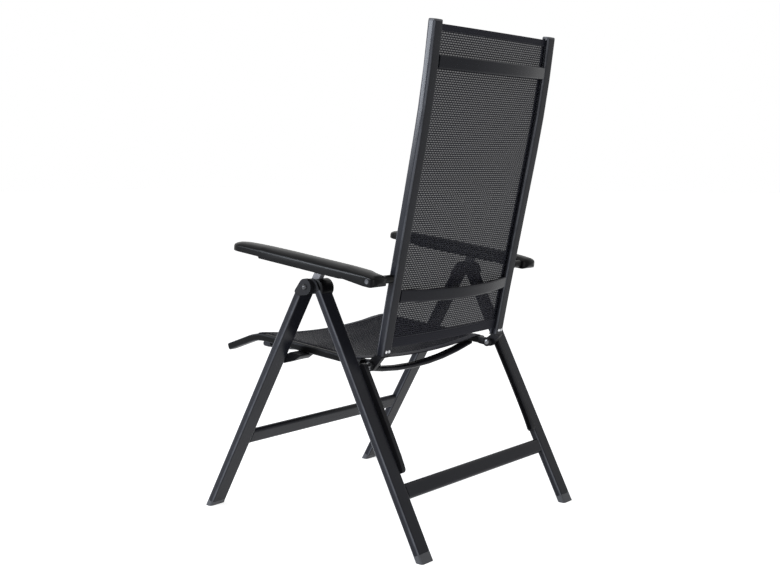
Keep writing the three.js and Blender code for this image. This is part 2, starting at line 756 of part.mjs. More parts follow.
const slotAcross = seatOuter - keywayInset;
const slingRest = seatRailHeight / 2 + seatedGap;
const hem = slingThickness / 2;
const slingDip = slingRest - keywayDepth + seatedGap;
const seatSlingSection = new THREE.Shape([
  at(-slotAcross - hem, slingDip), at(-slotAcross + hem, slingDip), at(-slotAcross + hem, slingRest),
  ...sagLine(seatInner, slingRest, seatSlingSag, 0),
  at(slotAcross - hem, slingRest), at(slotAcross - hem, slingDip), at(slotAcross + hem, slingDip),
  at(slotAcross + hem, slingRest + slingThickness),
  ...sagLine(seatInner, slingRest, seatSlingSag, slingThickness).reverse(),
  at(-slotAcross - hem, slingRest + slingThickness),
]);
const slingStations = [
  ...seatStations.slice(1 + bendSteps / 2, -1),
  [onSeat(seatSlingSetback, 0), seatForward.clone().negate()],
];
piece('seat_sling', sweep(seatSlingSection, slingStations), mesh);

// Back
const backFoot = plus(rearPivot, [backUp, backFootUp], [backBehind, backFootBehind]);

// A place on the bowed centreline of a back rail, with the direction of the rail there
function onBack(up) {
  const share = up / backRailLength;
  const bow = backBow * Math.sin(Math.PI * share ** backBowShare);
  const rate = backBow * Math.cos(Math.PI * share ** backBowShare)
    * Math.PI * backBowShare * share ** (backBowShare - 1) / backRailLength;
  return [plus(backFoot, [backUp, up], [backBehind, bow]), plus(backUp, [backBehind, rate]).normalize()];
}

// Square to the back at a place on it, towards the rear
const behindBack = (up) => leftOf(onBack(up)[1]).negate();

const slingEnds = [backSlingBottom, backRailLength - backSlingTop];
const slingSpan = slingEnds[1] - slingEnds[0];
const backStations = [0, ...Array.from({ length: backSteps + 1 }, (_, i) =>
  slingEnds[0] + (slingSpan * i) / backSteps), backRailLength].map(onBack);
const backMiddle = backOuter - backRailWidth / 2;
const backBore = {
  width: backRailWidth - 2 * railWall - keywayDepth,
  depth: backRailDepth - 2 * railWall,
  centre: at(-keywayDepth / 2, 0),
};

// A rail section with the slot for the sling's edge in its inner face
function backSection() {
  const half = backRailWidth / 2;
  const deep = backRailDepth / 2;
  const corner = backRailCorner;
  const shape = new THREE.Shape();
  shape.moveTo(half, keyway / 2);
  shape.absarc(half - corner, deep - corner, corner, 0, Math.PI / 2);
  shape.absarc(-half + corner, deep - corner, corner, Math.PI / 2, Math.PI);
  shape.absarc(-half + corner, -deep + corner, corner, Math.PI, 1.5 * Math.PI);
  shape.absarc(half - corner, -deep + corner, corner, 1.5 * Math.PI, 2 * Math.PI);
  shape.lineTo(half, -keyway / 2);
  shape.lineTo(half - keywayDepth, -keyway / 2);
  shape.lineTo(half - keywayDepth, keyway / 2);
  shape.holes.push(rectangle(backBore.width, backBore.depth, corner - railWall, backBore.centre));
  return shape;
}

// A plug in the back rail's bore
const backPlug = (from, to) => sweep(rectangle(backBore.width - 2 * seatedGap, backBore.depth - 2 * seatedGap,
  backRailCorner - railWall, backBore.centre), [onBack(from), onBack(to)], backMiddle);

const rivetSpots = [-1, 1].map((side) => backMiddle + (side * rivetSpread) / 2);

// A piece turned on an axis square to the back, at a height up the rail and a place across it
function squareToBack(up, x, profile) {
  const points = profile.map(([radius, out]) => new THREE.Vector2(radius, out));
  const geometry = new THREE.LatheGeometry(points, sidesFor(rivetHeadRadius));
  const out = behindBack(up);
  const [centre, along] = onBack(up);
  geometry.applyMatrix4(new THREE.Matrix4().makeBasis(new THREE.Vector3(1, 0, 0),
    new THREE.Vector3(0, out.x, out.y), new THREE.Vector3(0, along.x, along.y)));
  return solid(geometry.translate(x, centre.x, centre.y));
}

const railFace = backRailDepth / 2;
const rivetBores = rivetSpots.map((x) => squareToBack(rivetUp, x, [
  [0, railFace - rivetLength - seatedGap], [rivetRadius + boltClearance, railFace - rivetLength - seatedGap],
  [rivetRadius + boltClearance, railFace + cutOverrun], [0, railFace + cutOverrun]]));
const pinBore = rod(
  armPivot, pinRadius + boltClearance, backOuter - railWall - cutOverrun, backOuter + cutOverrun);
pair('back_rail', cut(sweep(backSection(), backStations, backMiddle), ...rivetBores, pinBore), powderCoat);
rivetSpots.forEach((x, i) => pair(`back_rail_rivet_${i + 1}`, squareToBack(rivetUp, x, [
  [0, railFace - rivetLength], [rivetRadius, railFace - rivetLength], [rivetRadius, railFace + seatedGap],
  ...dome(rivetHeadRadius, railFace + seatedGap, railFace + seatedGap + rivetHeadHeight)]), steel));

// Top caps
const [railTop, railTopWay] = onBack(backRailLength);
const capSeat = plus(railTop, [railTopWay, seatedGap]);
const capRings = tipRings(backRailWidth, backRailDepth, backRailCorner, capSeat,
  backMiddle, railTopWay, leftOf(railTopWay), capHeight - capRound, capRound);
pair('back_top_cap', join(loft(capRings.map((ring) => [...ring].reverse())),
  backPlug(backRailLength - plugLength, backRailLength + 2 * seatedGap)), greyPlastic);

// Foot brackets: a plug, a collar under the rail's end and a tongue round the rear pivot
const collarAt = (up, behind) => plus(rearPivot, [backUp, up], [backBehind, behind]);
const collarSides = [backFootBehind - backRailDepth / 2, backFootBehind + backRailDepth / 2];
const collarRound = footCollar / 2;
const collarDiscs = [
  [collarAt(backFootUp - seatedGap - collarRound, collarSides[0] + collarRound), collarRound],
  [collarAt(backFootUp - seatedGap - collarRound, collarSides[1] - collarRound), collarRound],
];
const footBracket = join(
  slab(belt([[rearPivot, footTongueRadius], ...collarDiscs]), backTongueInner, backTongueOuter),
  slab(belt(collarDiscs), backInner, backTongueOuter),
  backPlug(-footCollar / 2, plugLength));
pair('back_foot_bracket', cut(footBracket, pivotHole, ...rivetBores), casting);

// Bars across the back, bowed away from the sitter
function backBar(name, up) {
  const [centre, along] = onBack(up);
  const out = behindBack(up);
  const round = backBarThickness / 2;
  const middle = plus(centre, [out, slingThickness / 2 + seatedGap + round]);
  const ends = [-1, 1].map((side) => plus(middle, [along, side * (backBarHeight / 2 - round)]));
  const outline = belt(ends.map((end) => [end, round]));
  outline.holes.push(new THREE.Path(belt(ends.map((end) => [end, round - backBarWall])).getPoints()));
  const half = backInner - seatedGap;
  const bar = new THREE.ExtrudeGeometry(outline, { depth: 2 * half, steps: barSteps, bevelEnabled: false });
  const straight = solid(bar.applyMatrix4(sideToWorld).translate(-half, 0, 0));
  piece(name, bowed(straight, out, backBarBow, half), powderCoat);
}

backBar('back_lower_bar', lowerBarUp);
backBar('back_upper_bar', backRailLength - upperBarDrop);

// The back sling hangs in the rails' slots and gives a little to the rear
const slingEdge = backInner + keywayDepth - slidingGap;
const backSlingSection = new THREE.Shape([
  at(-slingEdge, -hem), ...sagLine(backInner, 0, backSlingSag, -hem), at(slingEdge, -hem),
  at(slingEdge, hem), ...sagLine(backInner, 0, backSlingSag, hem).reverse(), at(-slingEdge, hem),
]);
piece('back_sling', sweep(backSlingSection, backStations.slice(1, -1)), mesh);

// Arm pivots
const washerInner = backOuter + seatedGap;
const washerOuter = washerInner + washerThickness;
const bushInner = washerOuter + seatedGap;
const armOuter = frontOuter;
const armInner = frontInner - armOverhang;
const tailInner = armInner + armTailSetback;
const collarOuter = tailInner - slidingGap;
const flangeOuter = backOuter - railWall - seatedGap;
const flangeInner = flangeOuter - pinFlangeThickness;
pair('arm_pivot_pin', turned(armPivot, [
  [0, flangeInner],
  [pinFlange, flangeInner],
  [pinFlange, flangeOuter - spreadTaper],
  [pinRadius, flangeOuter],
  [pinRadius, flangeInner + pinLength],
  [0, flangeInner + pinLength],
]), steel);
pair('arm_pivot_washer', turned(armPivot, [
  [pinRadius + boltClearance, washerInner], [washerRadius, washerInner], [washerRadius, washerOuter],
  [pinRadius + boltClearance, washerOuter], [pinRadius + boltClearance, washerInner],
]), greyPlastic);
pair('arm_pivot_bush', turned(armPivot, [
  [pinRadius + boltClearance, bushInner], [bushCollarRadius, bushInner], [bushCollarRadius, collarOuter],
  [bushRadius, collarOuter], [bushRadius, tailInner + bushLength],
  [pinRadius + boltClearance, tailInner + bushLength], [pinRadius + boltClearance, bushInner],
]), blackPlastic);

// Armrests

// Straight lines between (place, value) pairs, and level beyond them
function between(pairs, place) {
  const after = pairs.findIndex(([p]) => p >= place);
  if (after === 0) return pairs[0][1];
  if (after < 0) return pairs.at(-1)[1];
  const [[p0, v0], [p1, v1]] = [pairs[after - 1], pairs[after]];
  return v0 + ((v1 - v0) * (place - p0)) / (p1 - p0);
}

const tailMiddle = armTailRadius - armTail;
const collarClear = bushCollarRadius + slidingGap;

// The crest along the arm: [share of the reach to the tip, share of the crest's height]
const crestShares = [
  [-0.05, 0.71], [0, 0.79], [0.04, 0.92], [0.12, 1], [0.28, 1.06], [0.7, 1.04], [0.88, 0.93], [1, 0.76]];
const underLine = [
  [collarClear, tailUnder], [rackRear - rearStepLength, rearStepUnder], [rackRear, rackUnder],
  [rackFront, rackUnder], [rackFront + stepLength, tipUnder], [armTip, tipUnder],
];

// Powers that make the rounded ends blunter than a true round: in plan, and of the nose in height
const planShares = { nose: 0.6, tail: 0.8 };
const noseSquashShare = 0.35;

// Where the rings of the middle of the arm stand, as shares of the reach to the tip
const middleShares = [0.4, 0.6];
const lateShare = 0.86;

// Shares of a step by which the first ring of each rounded end stands in from its very end
const tailStartShare = 0.25;
const noseStartShare = 0.6;

// How much of the full section is left at a place, in a rounded end of a given length
const rounding = (toEnd, length) => Math.sqrt(1 - Math.max(0, 1 - toEnd / length) ** 2);

// One ring of the armrest: walls from the under edge to a shoulder, and a crown over them
function armRing(forward, inset) {
  const toTip = armTip - inset - forward;
  const toTail = forward + armTail;
  const nose = rounding(Math.max(toTip, 0), armNoseLength);
  const tail = rounding(Math.max(toTail, 0), armTailRadius);
  const inner = between([[collarClear, tailInner], [hollowRear, armInner]], forward) + inset;
  const outer = armOuter - inset;
  const middle = (inner + outer) / 2;
  const half = ((outer - inner) / 2) * Math.min(nose ** planShares.nose, tail ** planShares.tail);
  const crest = armCrest * between(crestShares.map(([p, v]) => [p * armTip, v]), forward) - inset;
  const under = between(underLine, forward);
  const level = (under + crest) / 2;
  const squash = Math.min(nose ** noseSquashShare, tail);
  const fit = (up) => level + (up - level) * squash;
  const shoulder = Math.min(armWallHeight, (under + 2 * crest) / 3);
  const points = Array.from({ length: crownSteps + 1 }, (_, i) => {
    const angle = radians((i * 180) / crownSteps);
    return [middle + half * Math.cos(angle), fit(shoulder + (crest - shoulder) * Math.sin(angle))];
  });
  points.push([middle - half, fit(under)], [middle + half, fit(under)]);
  return points.map(([x, up]) => {
    const spot = onArm(forward, up);
    return new THREE.Vector3(x, spot.x, spot.y);
  });
}

const tailPlaces = Array.from({ length: noseSteps }, (_, i) =>
  tailMiddle - armTailRadius * Math.cos(radians(((i + tailStartShare) * 90) / noseSteps)));
const nosePlaces = Array.from({ length: noseSteps }, (_, i) =>
  armTip - armNoseLength + armNoseLength * Math.sin(radians(((i + noseStartShare) * 90) / noseSteps)));
const hollowPlaces = [
  hollowRear, rackRear - rearStepLength, rackRear, ...middleShares.map((share) => armTip * share),
  rackFront, rackFront + stepLength, armTip * lateShare, armTip - armNoseLength];
const skinPlaces = [...tailPlaces, tailMiddle, collarClear, ...hollowPlaces, ...nosePlaces];
const armSkin = loft(skinPlaces.map((place) => armRing(place, 0)));

// The hollow under the skin: the same rings drawn in, open below
function hollowRing(forward) {
  const ring = armRing(forward, armWall);
  const drop = rackUnder - cutOverrun;
  for (const index of [-1, -2]) {
    const across = ring.at(index).x;
    const spot = onArm(forward, drop);
    ring.splice(ring.length + index, 1, new THREE.Vector3(across, spot.x, spot.y));
  }
  return ring;
}

const armHollow = loft(hollowPlaces.map(hollowRing));

// The rack inside: a rib with a row of notches
const rackMiddle = postOuter - postWidth / 2;
const rackTop = armCrest - armWall / 2;
const rackCorners = [
  [rackPlateRear, rackUnder], [rackPlateFront, rackUnder],
  [rackPlateFront, rackTop], [rackPlateRear, rackTop],
];
const rackOutline = new THREE.Shape(rackCorners.map(([forward, up]) => onArm(forward, up)).reverse());
const rack = slab(rackOutline, rackMiddle - rackWidth / 2, rackMiddle + rackWidth / 2).intersect(armSkin);
const notches = Array.from({ length: notchCount }, (_, i) => rod(
  onArm(postReach + i * notchPitch, rackUnder + notchDepth - notchRadius), notchRadius, armInner, armOuter));
const bushBore = rod(armPivot, bushRadius + boltClearance,
  armInner - cutOverrun, tailInner + bushLength + seatedGap);
pair('armrest', cut(join(cut(armSkin, armHollow), cut(rack, ...notches)), bushBore), blackPlastic);

// Origin on the ground, in the middle of the footprint
const bounds = new THREE.Box3().setFromObject(chair);
const centre = bounds.getCenter(new THREE.Vector3());
chair.position.set(-centre.x, -centre.y, -bounds.min.z);
chair.updateMatrixWorld(true);

export default chair;
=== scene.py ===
"""A folding high-back sling chair for the patio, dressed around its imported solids.

Everything is in metres, in the frame of the solids: +X is the sitter's left, the sitter
faces -Y, and Z is up. The panel in the 3D view's sidebar lists the steps that build the chair.
"""

import json
import math

import bmesh
import bpy
from mathutils import Matrix, Vector


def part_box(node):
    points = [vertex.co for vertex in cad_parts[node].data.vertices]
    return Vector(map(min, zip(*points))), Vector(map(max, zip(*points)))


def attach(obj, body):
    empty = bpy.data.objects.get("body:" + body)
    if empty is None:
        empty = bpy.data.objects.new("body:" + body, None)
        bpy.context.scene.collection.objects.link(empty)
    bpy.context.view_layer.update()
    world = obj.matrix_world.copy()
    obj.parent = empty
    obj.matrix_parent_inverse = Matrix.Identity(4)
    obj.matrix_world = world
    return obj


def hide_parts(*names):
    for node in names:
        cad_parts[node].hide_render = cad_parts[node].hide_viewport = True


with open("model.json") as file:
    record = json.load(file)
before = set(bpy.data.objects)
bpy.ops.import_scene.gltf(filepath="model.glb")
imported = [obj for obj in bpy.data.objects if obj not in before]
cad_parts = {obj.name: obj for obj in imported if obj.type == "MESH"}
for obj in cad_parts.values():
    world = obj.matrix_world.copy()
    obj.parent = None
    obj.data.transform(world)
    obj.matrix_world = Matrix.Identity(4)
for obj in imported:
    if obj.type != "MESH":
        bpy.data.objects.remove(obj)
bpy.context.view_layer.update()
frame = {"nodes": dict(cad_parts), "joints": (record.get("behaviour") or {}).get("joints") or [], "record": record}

bl_info = {
    "name": "Sling Patio Chair",
    "version": (1, 0, 0),
    "blender": (4, 5, 0),
    "location": "View3D > Sidebar > Patio Chair",
    "description": "Dresses the solids of a folding sling chair with its finishes and its cloth",
    "category": "Add Mesh",
}

JOINTS = {joint["name"]: joint for joint in frame["joints"]}
BODY_OF = {
    node: body
    for body, nodes in frame["record"]["behaviour"]["bodies"].items()
    for node in nodes
}
SLOT_OF = {part["node"]: part["material_slot"] for part in frame["record"]["subparts"]}

HINGE = Vector(JOINTS["leg_fold"]["pos_m"])
REAR_PIVOT = Vector(JOINTS["back_recline"]["pos_m"])
ARM_PIVOT = Vector(JOINTS["armrest_left_lift"]["pos_m"])

# The back's line, as the solids have it
BACK_ANGLE = math.radians(78.8)  # off the level
BACK_UP = Vector((0, math.cos(BACK_ANGLE), math.sin(BACK_ANGLE)))
BACK_BEHIND = Vector((0, math.sin(BACK_ANGLE), -math.cos(BACK_ANGLE)))
FOOT_UP, FOOT_BEHIND = 0.0281, 0.0185  # rear pivot to the foot of the rails' centreline
BACK_FOOT = REAR_PIVOT + FOOT_UP * BACK_UP + FOOT_BEHIND * BACK_BEHIND
BACK_LENGTH = 0.706
BACK_BOW = 0.008  # most that the rails bow to the rear
BACK_INNER = 0.197  # middle of the chair to a rail's inner side
BACK_SLING_EDGE = 0.2015  # middle of the chair to the sling's edge, inside the rail
BACK_SLING_SAG = 0.005
BACK_SLING_UP = (0.014, 0.703)  # from the rail's foot

# The seat's line
SEAT_SLOPE = math.radians(5.1)  # up to the front
LIP_SLOPE = math.radians(19.7)  # down to the front
SEAT_BEND = SEAT_SLOPE + LIP_SLOPE
SEAT_FORWARD = Vector((0, -math.cos(SEAT_SLOPE), math.sin(SEAT_SLOPE)))
SEAT_UP = Vector((0, math.sin(SEAT_SLOPE), math.cos(SEAT_SLOPE)))
SEAT_RUN = 0.3518  # rear pivot to the bend's corner
SEAT_BEND_RADIUS = 0.12
SEAT_STRAIGHT = SEAT_RUN - SEAT_BEND_RADIUS * math.tan(SEAT_BEND / 2)
SEAT_INNER = 0.208  # middle of the chair to a rail's inner side
SEAT_SAG_REACH = SEAT_INNER + 0.002  # middle of the chair to where the sling starts to sag
SEAT_SLOT = 0.228  # middle of the chair to the sling's edge, over the rail
SEAT_RAIL_TOP = 0.00825  # the rail's line to its top
SEAT_SLING_SAG = 0.014
SEAT_SLING_SETBACK = 0.032  # rear pivot to the sling's rear end
SEAT_EDGE_DIP = 0.004  # how far the sling's edges turn down
CLOTH_LIFT = 0.0008  # rail's top to the middle of the cloth on it

# Steps of the grids of cloth, across and along
BACK_GRID = (32, 72)
SEAT_GRID = (38, 40)
HEM_GRID = (32, 3)

# Hems and their stitches. Thicknesses and lifts are in layers of cloth
BACK_HEM_REACH = BACK_INNER + 0.001  # middle of the chair to a hem's end
SEAT_HEM_REACH = SEAT_SLOT - 0.003
SEAT_HEM = 0.018
BACK_HEM_LAYERS, SEAT_HEM_LAYERS = 3.2, 2.6
BACK_STITCH_REACH = BACK_INNER - 0.001
BACK_STITCH_INSET = 0.0016  # a hem's edge to its row of stitches
SEAT_STITCH_INSET = 0.0015
BACK_STITCH_LIFT, SEAT_STITCH_LIFT = 1.75, 1.4
STITCH_SHARE = 0.62  # of the pitch that a stitch is long
STITCH_WIDTH, STITCH_HEIGHT = 0.0011, 0.0009

# Making meshes
MERGE_DISTANCE = 1e-5
FINE_MERGE_DISTANCE = 1e-6
FLAT_ANGLE = math.radians(0.5)
TUBE_CORNER_ANGLES = (math.radians(18), math.radians(50))  # between flats of a rounded corner
BEVEL_BEYOND_CREASE = 10  # degrees
# Faces turned this far sideways get the painted corner highlight
CORNER_FACING = 0.70  # how far a rounded corner's middle faces sideways
CORNER_SPREAD = 0.3
CREASE_SMALL = 35  # degrees, on turned and small pieces
CREASE_NONE = 180  # degrees, smooth all over
FLAT_WEIGHT = 60  # how strongly large faces keep their own shading

# A cap over each arm pivot pin and two rings on each rear pivot, as (radius, x) pairs
PIN_CAP = (
    (0, 0.3050), (0.0054, 0.3050), (0.0054, 0.3063),
    (0.0044, 0.3070), (0.0030, 0.3066), (0, 0.3066),
)
PIVOT_RINGS = {
    "outer": (
        (0.0072, 0.2311), (0.0100, 0.2311), (0.0100, 0.2323),
        (0.0093, 0.2329), (0.0080, 0.2329), (0.0072, 0.2324),
    ),
    "inner": (
        (0.0088, 0.2080), (0.0112, 0.2080), (0.0112, 0.2066),
        (0.0104, 0.2059), (0.0094, 0.2059), (0.0088, 0.2064),
    ),
}

# The shoulder behind a rear leg's head, about the leg's hinge
SHOULDER_SIDES = (0.2565, 0.2925)
SHOULDER_REACH = 0.0187  # hinge to the shoulder's hollow side, clear of the fork
SHOULDER_BLANK = 1.1 * SHOULDER_REACH  # hinge to its outer side, before that is drawn out
SHOULDER_OUTER = 1.05 * SHOULDER_REACH  # points beyond this are on the outer side
SHOULDER_RIM = 1.2 * SHOULDER_REACH  # edges beyond this are rounded
SHOULDER_ARC = (math.radians(52), math.radians(-30))
SHOULDER_CENTRE = (0.020, -0.003)  # of its outer round, to the rear and up from the hinge
SHOULDER_RADIUS = 0.0205
SHOULDER_CUT_FACING = Vector((0, 0.9385, 0.3453))
SHOULDER_CUT = 0.0191  # hinge to the cut that ends it
SHOULDER_ROUND = 0.0035

WHITE = (1.0, 1.0, 1.0)
COOL = (0.86, 0.91, 1.0)
LAMPS = (
    # name, place, size, power, colour
    ("overhead", (0.3, 0.2, 3.2), (2.0, 2.0), 15, WHITE),
    ("side_panel", (2.87, -1.88, 1.45), (0.8, 0.9), 105, COOL),
    ("rear_panel", (2.7, 2.8, 2.2), (0.4, 0.6), 8, WHITE),
    ("low_panel", (2.4, 2.65, 0.55), (0.35, 0.8), 14, WHITE),
)
LAMP_AIM = Vector((0, 0, 0.5))
FLOOR_REACH = 30
SENSOR_WIDTH = 36  # millimetres
SIGHT = 100  # how far the camera sees


def back_place(up):
    """A place on the back's bowed centreline, and the directions up and behind there."""
    share = up / BACK_LENGTH
    turn = math.pi * share**2
    bow = BACK_BOW * math.sin(turn)
    rate = BACK_BOW * math.cos(turn) * 2 * math.pi * share / BACK_LENGTH
    along = (BACK_UP + rate * BACK_BEHIND).normalized()
    behind = Vector((0, along.z, -along.y))
    return BACK_FOOT + up * BACK_UP + bow * BACK_BEHIND, along, behind


def seat_place(distance):
    """A place on the seat rail's line, a distance forward of the rear pivot, and up from it."""
    beyond = max(0.0, distance - SEAT_STRAIGHT)
    angle = min(beyond / SEAT_BEND_RADIUS, SEAT_BEND)
    place = REAR_PIVOT + min(distance, SEAT_STRAIGHT) * SEAT_FORWARD
    place += SEAT_BEND_RADIUS * math.sin(angle) * SEAT_FORWARD
    place -= SEAT_BEND_RADIUS * (1 - math.cos(angle)) * SEAT_UP
    slope = SEAT_SLOPE - angle
    return place, Vector((0, math.sin(slope), math.cos(slope)))


# Settings that a user would change


def colour_setting(name, description, default):
    """A colour that a user may change."""
    return bpy.props.FloatVectorProperty(
        name=name, description=description, subtype="COLOR", size=3, min=0, max=1,
        default=default)


def length_setting(name, description, default, least, most):
    """A length in metres that a user may change."""
    return bpy.props.FloatProperty(
        name=name, description=description, subtype="DISTANCE", unit="LENGTH",
        default=default, min=least, max=most)


class ChairColours(bpy.types.PropertyGroup):
    """Colours of the chair's finishes"""

    coat: colour_setting(
        "Powder coat", "Colour of the coated tubes and bars", (0.0135, 0.0143, 0.0190))
    coat_light: colour_setting(
        "Powder coat clouds", "Colour of the faint lighter clouds in the coat",
        (0.0168, 0.0178, 0.0232))
    # Painted highlight: a coat colour about twelve times lighter, laid along the tubes' rounded corners in place
    # of lamps reflected there
    coat_corner_highlight: colour_setting(
        "Rubbed corners", "Colour of the coat where it is highlighted along the tubes' corners",
        (0.170, 0.177, 0.200))
    # Painted shade: the seat rails' coat is the frame's powder coat painted about three times darker
    shaded_seat_coat: colour_setting(
        "Seat frame coat", "Colour of the coated rails under the seat's edge",
        (0.0042, 0.0043, 0.0047))
    casting: colour_setting(
        "Castings", "Colour of the hinge heads, tracks and brackets", (0.0100, 0.0102, 0.0120))
    armrest: colour_setting(
        "Armrests", "Colour of the moulded armrests", (0.0030, 0.0030, 0.0033))
    cap: colour_setting("Caps", "Colour of the caps on feet and rails", (0.058, 0.060, 0.067))
    post: colour_setting(
        "Lock posts", "Colour of the posts that the armrests rest on", (0.17, 0.17, 0.18))
    thread: colour_setting(
        "Mesh threads", "Colour of the coated threads of the slings", (0.0125, 0.0130, 0.0190))
    # Painted highlight: the thread colour made lighter where the threads cross on top and round each slot's rim
    thread_crown_highlight: colour_setting(
        "Mesh thread crowns", "Colour of the threads where they cross on top",
        (0.0160, 0.0166, 0.0230))
    stitching: colour_setting(
        "Stitching", "Colour of the rows of stitches on the hems", (0.09, 0.09, 0.095))
    stitching_light: colour_setting(
        "Stitching clouds", "Colour of the lighter parts of the stitches", (0.12, 0.12, 0.125))
    steel: colour_setting(
        "Steel", "Colour of the rivets and the arm pivot pins", (0.66, 0.67, 0.69))
    dark_steel: colour_setting(
        "Dark steel", "Colour of the blackened bolt heads at the leg hinges",
        (0.075, 0.076, 0.08))
    dull_steel: colour_setting(
        "Dull steel", "Colour of the bolts and rollers at the rear pivots",
        (0.17, 0.172, 0.18))


class ChairSizes(bpy.types.PropertyGroup):
    """Sizes of the chair's detail"""

    edge: length_setting(
        "Eased edges", "Width of the small round along sharp edges", 0.0004, 0, 0.002)
    weave_across: length_setting(
        "Weave pitch across", "Distance between slots of the mesh across the chair",
        0.0084, 0.001, 0.01)
    weave_along: length_setting(
        "Weave pitch along", "Distance between rows of slots along the sling",
        0.0047, 0.001, 0.01)
    cloth: length_setting(
        "Cloth thickness", "Thickness of the mesh cloth", 0.0008, 0.0002, 0.002)
    top_hem: length_setting(
        "Top hem", "Height of the hem along the top of the back", 0.015, 0.005, 0.05)
    bottom_hem: length_setting(
        "Bottom hem", "Height of the hem along the foot of the back", 0.024, 0.005, 0.05)
    stitch: length_setting(
        "Stitch length", "Distance from one stitch to the next", 0.0044, 0.002, 0.01)


class StageSettings(bpy.types.PropertyGroup):
    """Camera, lamps and floor"""

    eye: bpy.props.FloatVectorProperty(
        name="Eye",
        description="Place of the camera",
        subtype="XYZ",
        unit="LENGTH",
        size=3,
        default=(2.0347, 1.6957, 0.8073),
    )
    heading: bpy.props.FloatProperty(
        name="Heading",
        description="Turn of the camera about the vertical",
        subtype="ANGLE",
        unit="ROTATION",
        default=math.radians(129.89),
    )
    tilt: bpy.props.FloatProperty(
        name="Tilt",
        description="How far the camera looks down from level",
        subtype="ANGLE",
        unit="ROTATION",
        default=math.radians(6.41),
    )
    lens: bpy.props.FloatProperty(
        name="Lens",
        description="Focal length for a 36 mm wide picture",
        subtype="DISTANCE_CAMERA",
        unit="CAMERA",
        default=51.896,
        min=10,
        max=200,
    )
    room: bpy.props.FloatProperty(
        name="Room light",
        description="Strength of the even light from all sides",
        default=0.25,
        min=0,
        max=2,
    )
    floor_glow: bpy.props.FloatProperty(
        name="Floor whiteness",
        description="Light that the floor adds of its own where the camera sees it",
        default=0.82,
        min=0,
        max=1,
    )


# Node groups that several finishes share


def new_group(name, inputs, outputs):
    """A shader node group with named sockets, and its input and output nodes."""
    group = bpy.data.node_groups.new(name, "ShaderNodeTree")
    for socket, kind, default in inputs:
        made = group.interface.new_socket(socket, in_out="INPUT", socket_type=kind)
        if default is not None:
            made.default_value = default
    for socket, kind in outputs:
        group.interface.new_socket(socket, in_out="OUTPUT", socket_type=kind)
    return group, group.nodes.new("NodeGroupInput"), group.nodes.new("NodeGroupOutput")


def maths(tree, operation, *values, clamp=False):
    """A Math node whose inputs are sockets or numbers."""
    node = tree.nodes.new("ShaderNodeMath")
    node.operation = operation
    node.use_clamp = clamp
    for index, value in enumerate(values):
        if isinstance(value, (int, float)):
            node.inputs[index].default_value = value
        else:
            tree.links.new(value, node.inputs[index])
    return node.outputs[0]


def mix_colour(tree, factor, first, second):
    """A Mix node between two colours."""
    node = tree.nodes.new("ShaderNodeMix")
    node.data_type = "RGBA"
    sockets = (node.inputs[0], node.inputs[6], node.inputs[7])
    for socket, value in zip(sockets, (factor, first, second)):
        if isinstance(value, (int, float)):
            socket.default_value = value
        elif isinstance(value, bpy.types.NodeSocket):
            tree.links.new(value, socket)
        else:
            socket.default_value = (*value, 1)
    return node.outputs[2]


def noise(tree, vector, scale, detail, stretch=None):
    """A Noise Texture, whose pattern may be stretched."""
    if stretch:
        mapping = tree.nodes.new("ShaderNodeMapping")
        mapping.inputs["Scale"].default_value = stretch
        tree.links.new(vector, mapping.inputs["Vector"])
        vector = mapping.outputs[0]
    node = tree.nodes.new("ShaderNodeTexNoise")
    tree.links.new(vector, node.inputs["Vector"])
    if isinstance(scale, (int, float)):
        node.inputs["Scale"].default_value = scale
    else:
        tree.links.new(scale, node.inputs["Scale"])
    node.inputs["Detail"].default_value = detail
    return node.outputs["Fac"]


def ramp(tree, value, low, high):
    """Maps a value from low..high to 0..1, smoothly."""
    node = tree.nodes.new("ShaderNodeMapRange")
    node.interpolation_type = "SMOOTHSTEP"
    node.inputs["From Min"].default_value = low
    node.inputs["From Max"].default_value = high
    tree.links.new(value, node.inputs["Value"])
    return node.outputs[0]


def clouds_group():
    """Faint clouds of a second colour and of gloss, as any coat or moulding has."""
    group, given, result = new_group(
        "clouds",
        [
            ("Vector", "NodeSocketVector", None),
            ("Colour", "NodeSocketColor", None),
            ("Clouds", "NodeSocketColor", None),
            ("Scale", "NodeSocketFloat", 9.0),
            ("Roughness", "NodeSocketFloat", 0.4),
            ("Spread", "NodeSocketFloat", 0.08),
        ],
        [("Colour", "NodeSocketColor"), ("Roughness", "NodeSocketFloat")],
    )
    cloud = noise(group, given.outputs["Vector"], given.outputs["Scale"], 4.0)
    mask = ramp(group, cloud, 0.38, 0.66)
    colour = mix_colour(group, mask, given.outputs["Colour"], given.outputs["Clouds"])
    group.links.new(colour, result.inputs["Colour"])
    off_middle = maths(group, "SUBTRACT", cloud, 0.5)
    change = maths(group, "MULTIPLY", off_middle, given.outputs["Spread"])
    rough = maths(group, "ADD", given.outputs["Roughness"], change, clamp=True)
    group.links.new(rough, result.inputs["Roughness"])
    return group


def peel_group():
    """The fine pimples of a baked coat or a grained mould."""
    group, given, result = new_group(
        "peel",
        [
            ("Vector", "NodeSocketVector", None),
            ("Scale", "NodeSocketFloat", 900.0),
            ("Coarse scale", "NodeSocketFloat", 0.22),
            ("Coarse share", "NodeSocketFloat", 0.35),
        ],
        [("Height", "NodeSocketFloat")],
    )
    fine = noise(group, given.outputs["Vector"], given.outputs["Scale"], 2.0)
    wide = maths(group, "MULTIPLY", given.outputs["Scale"], given.outputs["Coarse scale"])
    coarse = noise(group, given.outputs["Vector"], wide, 1.0)
    weighted = maths(group, "MULTIPLY", coarse, given.outputs["Coarse share"])
    group.links.new(maths(group, "ADD", fine, weighted), result.inputs["Height"])
    return group


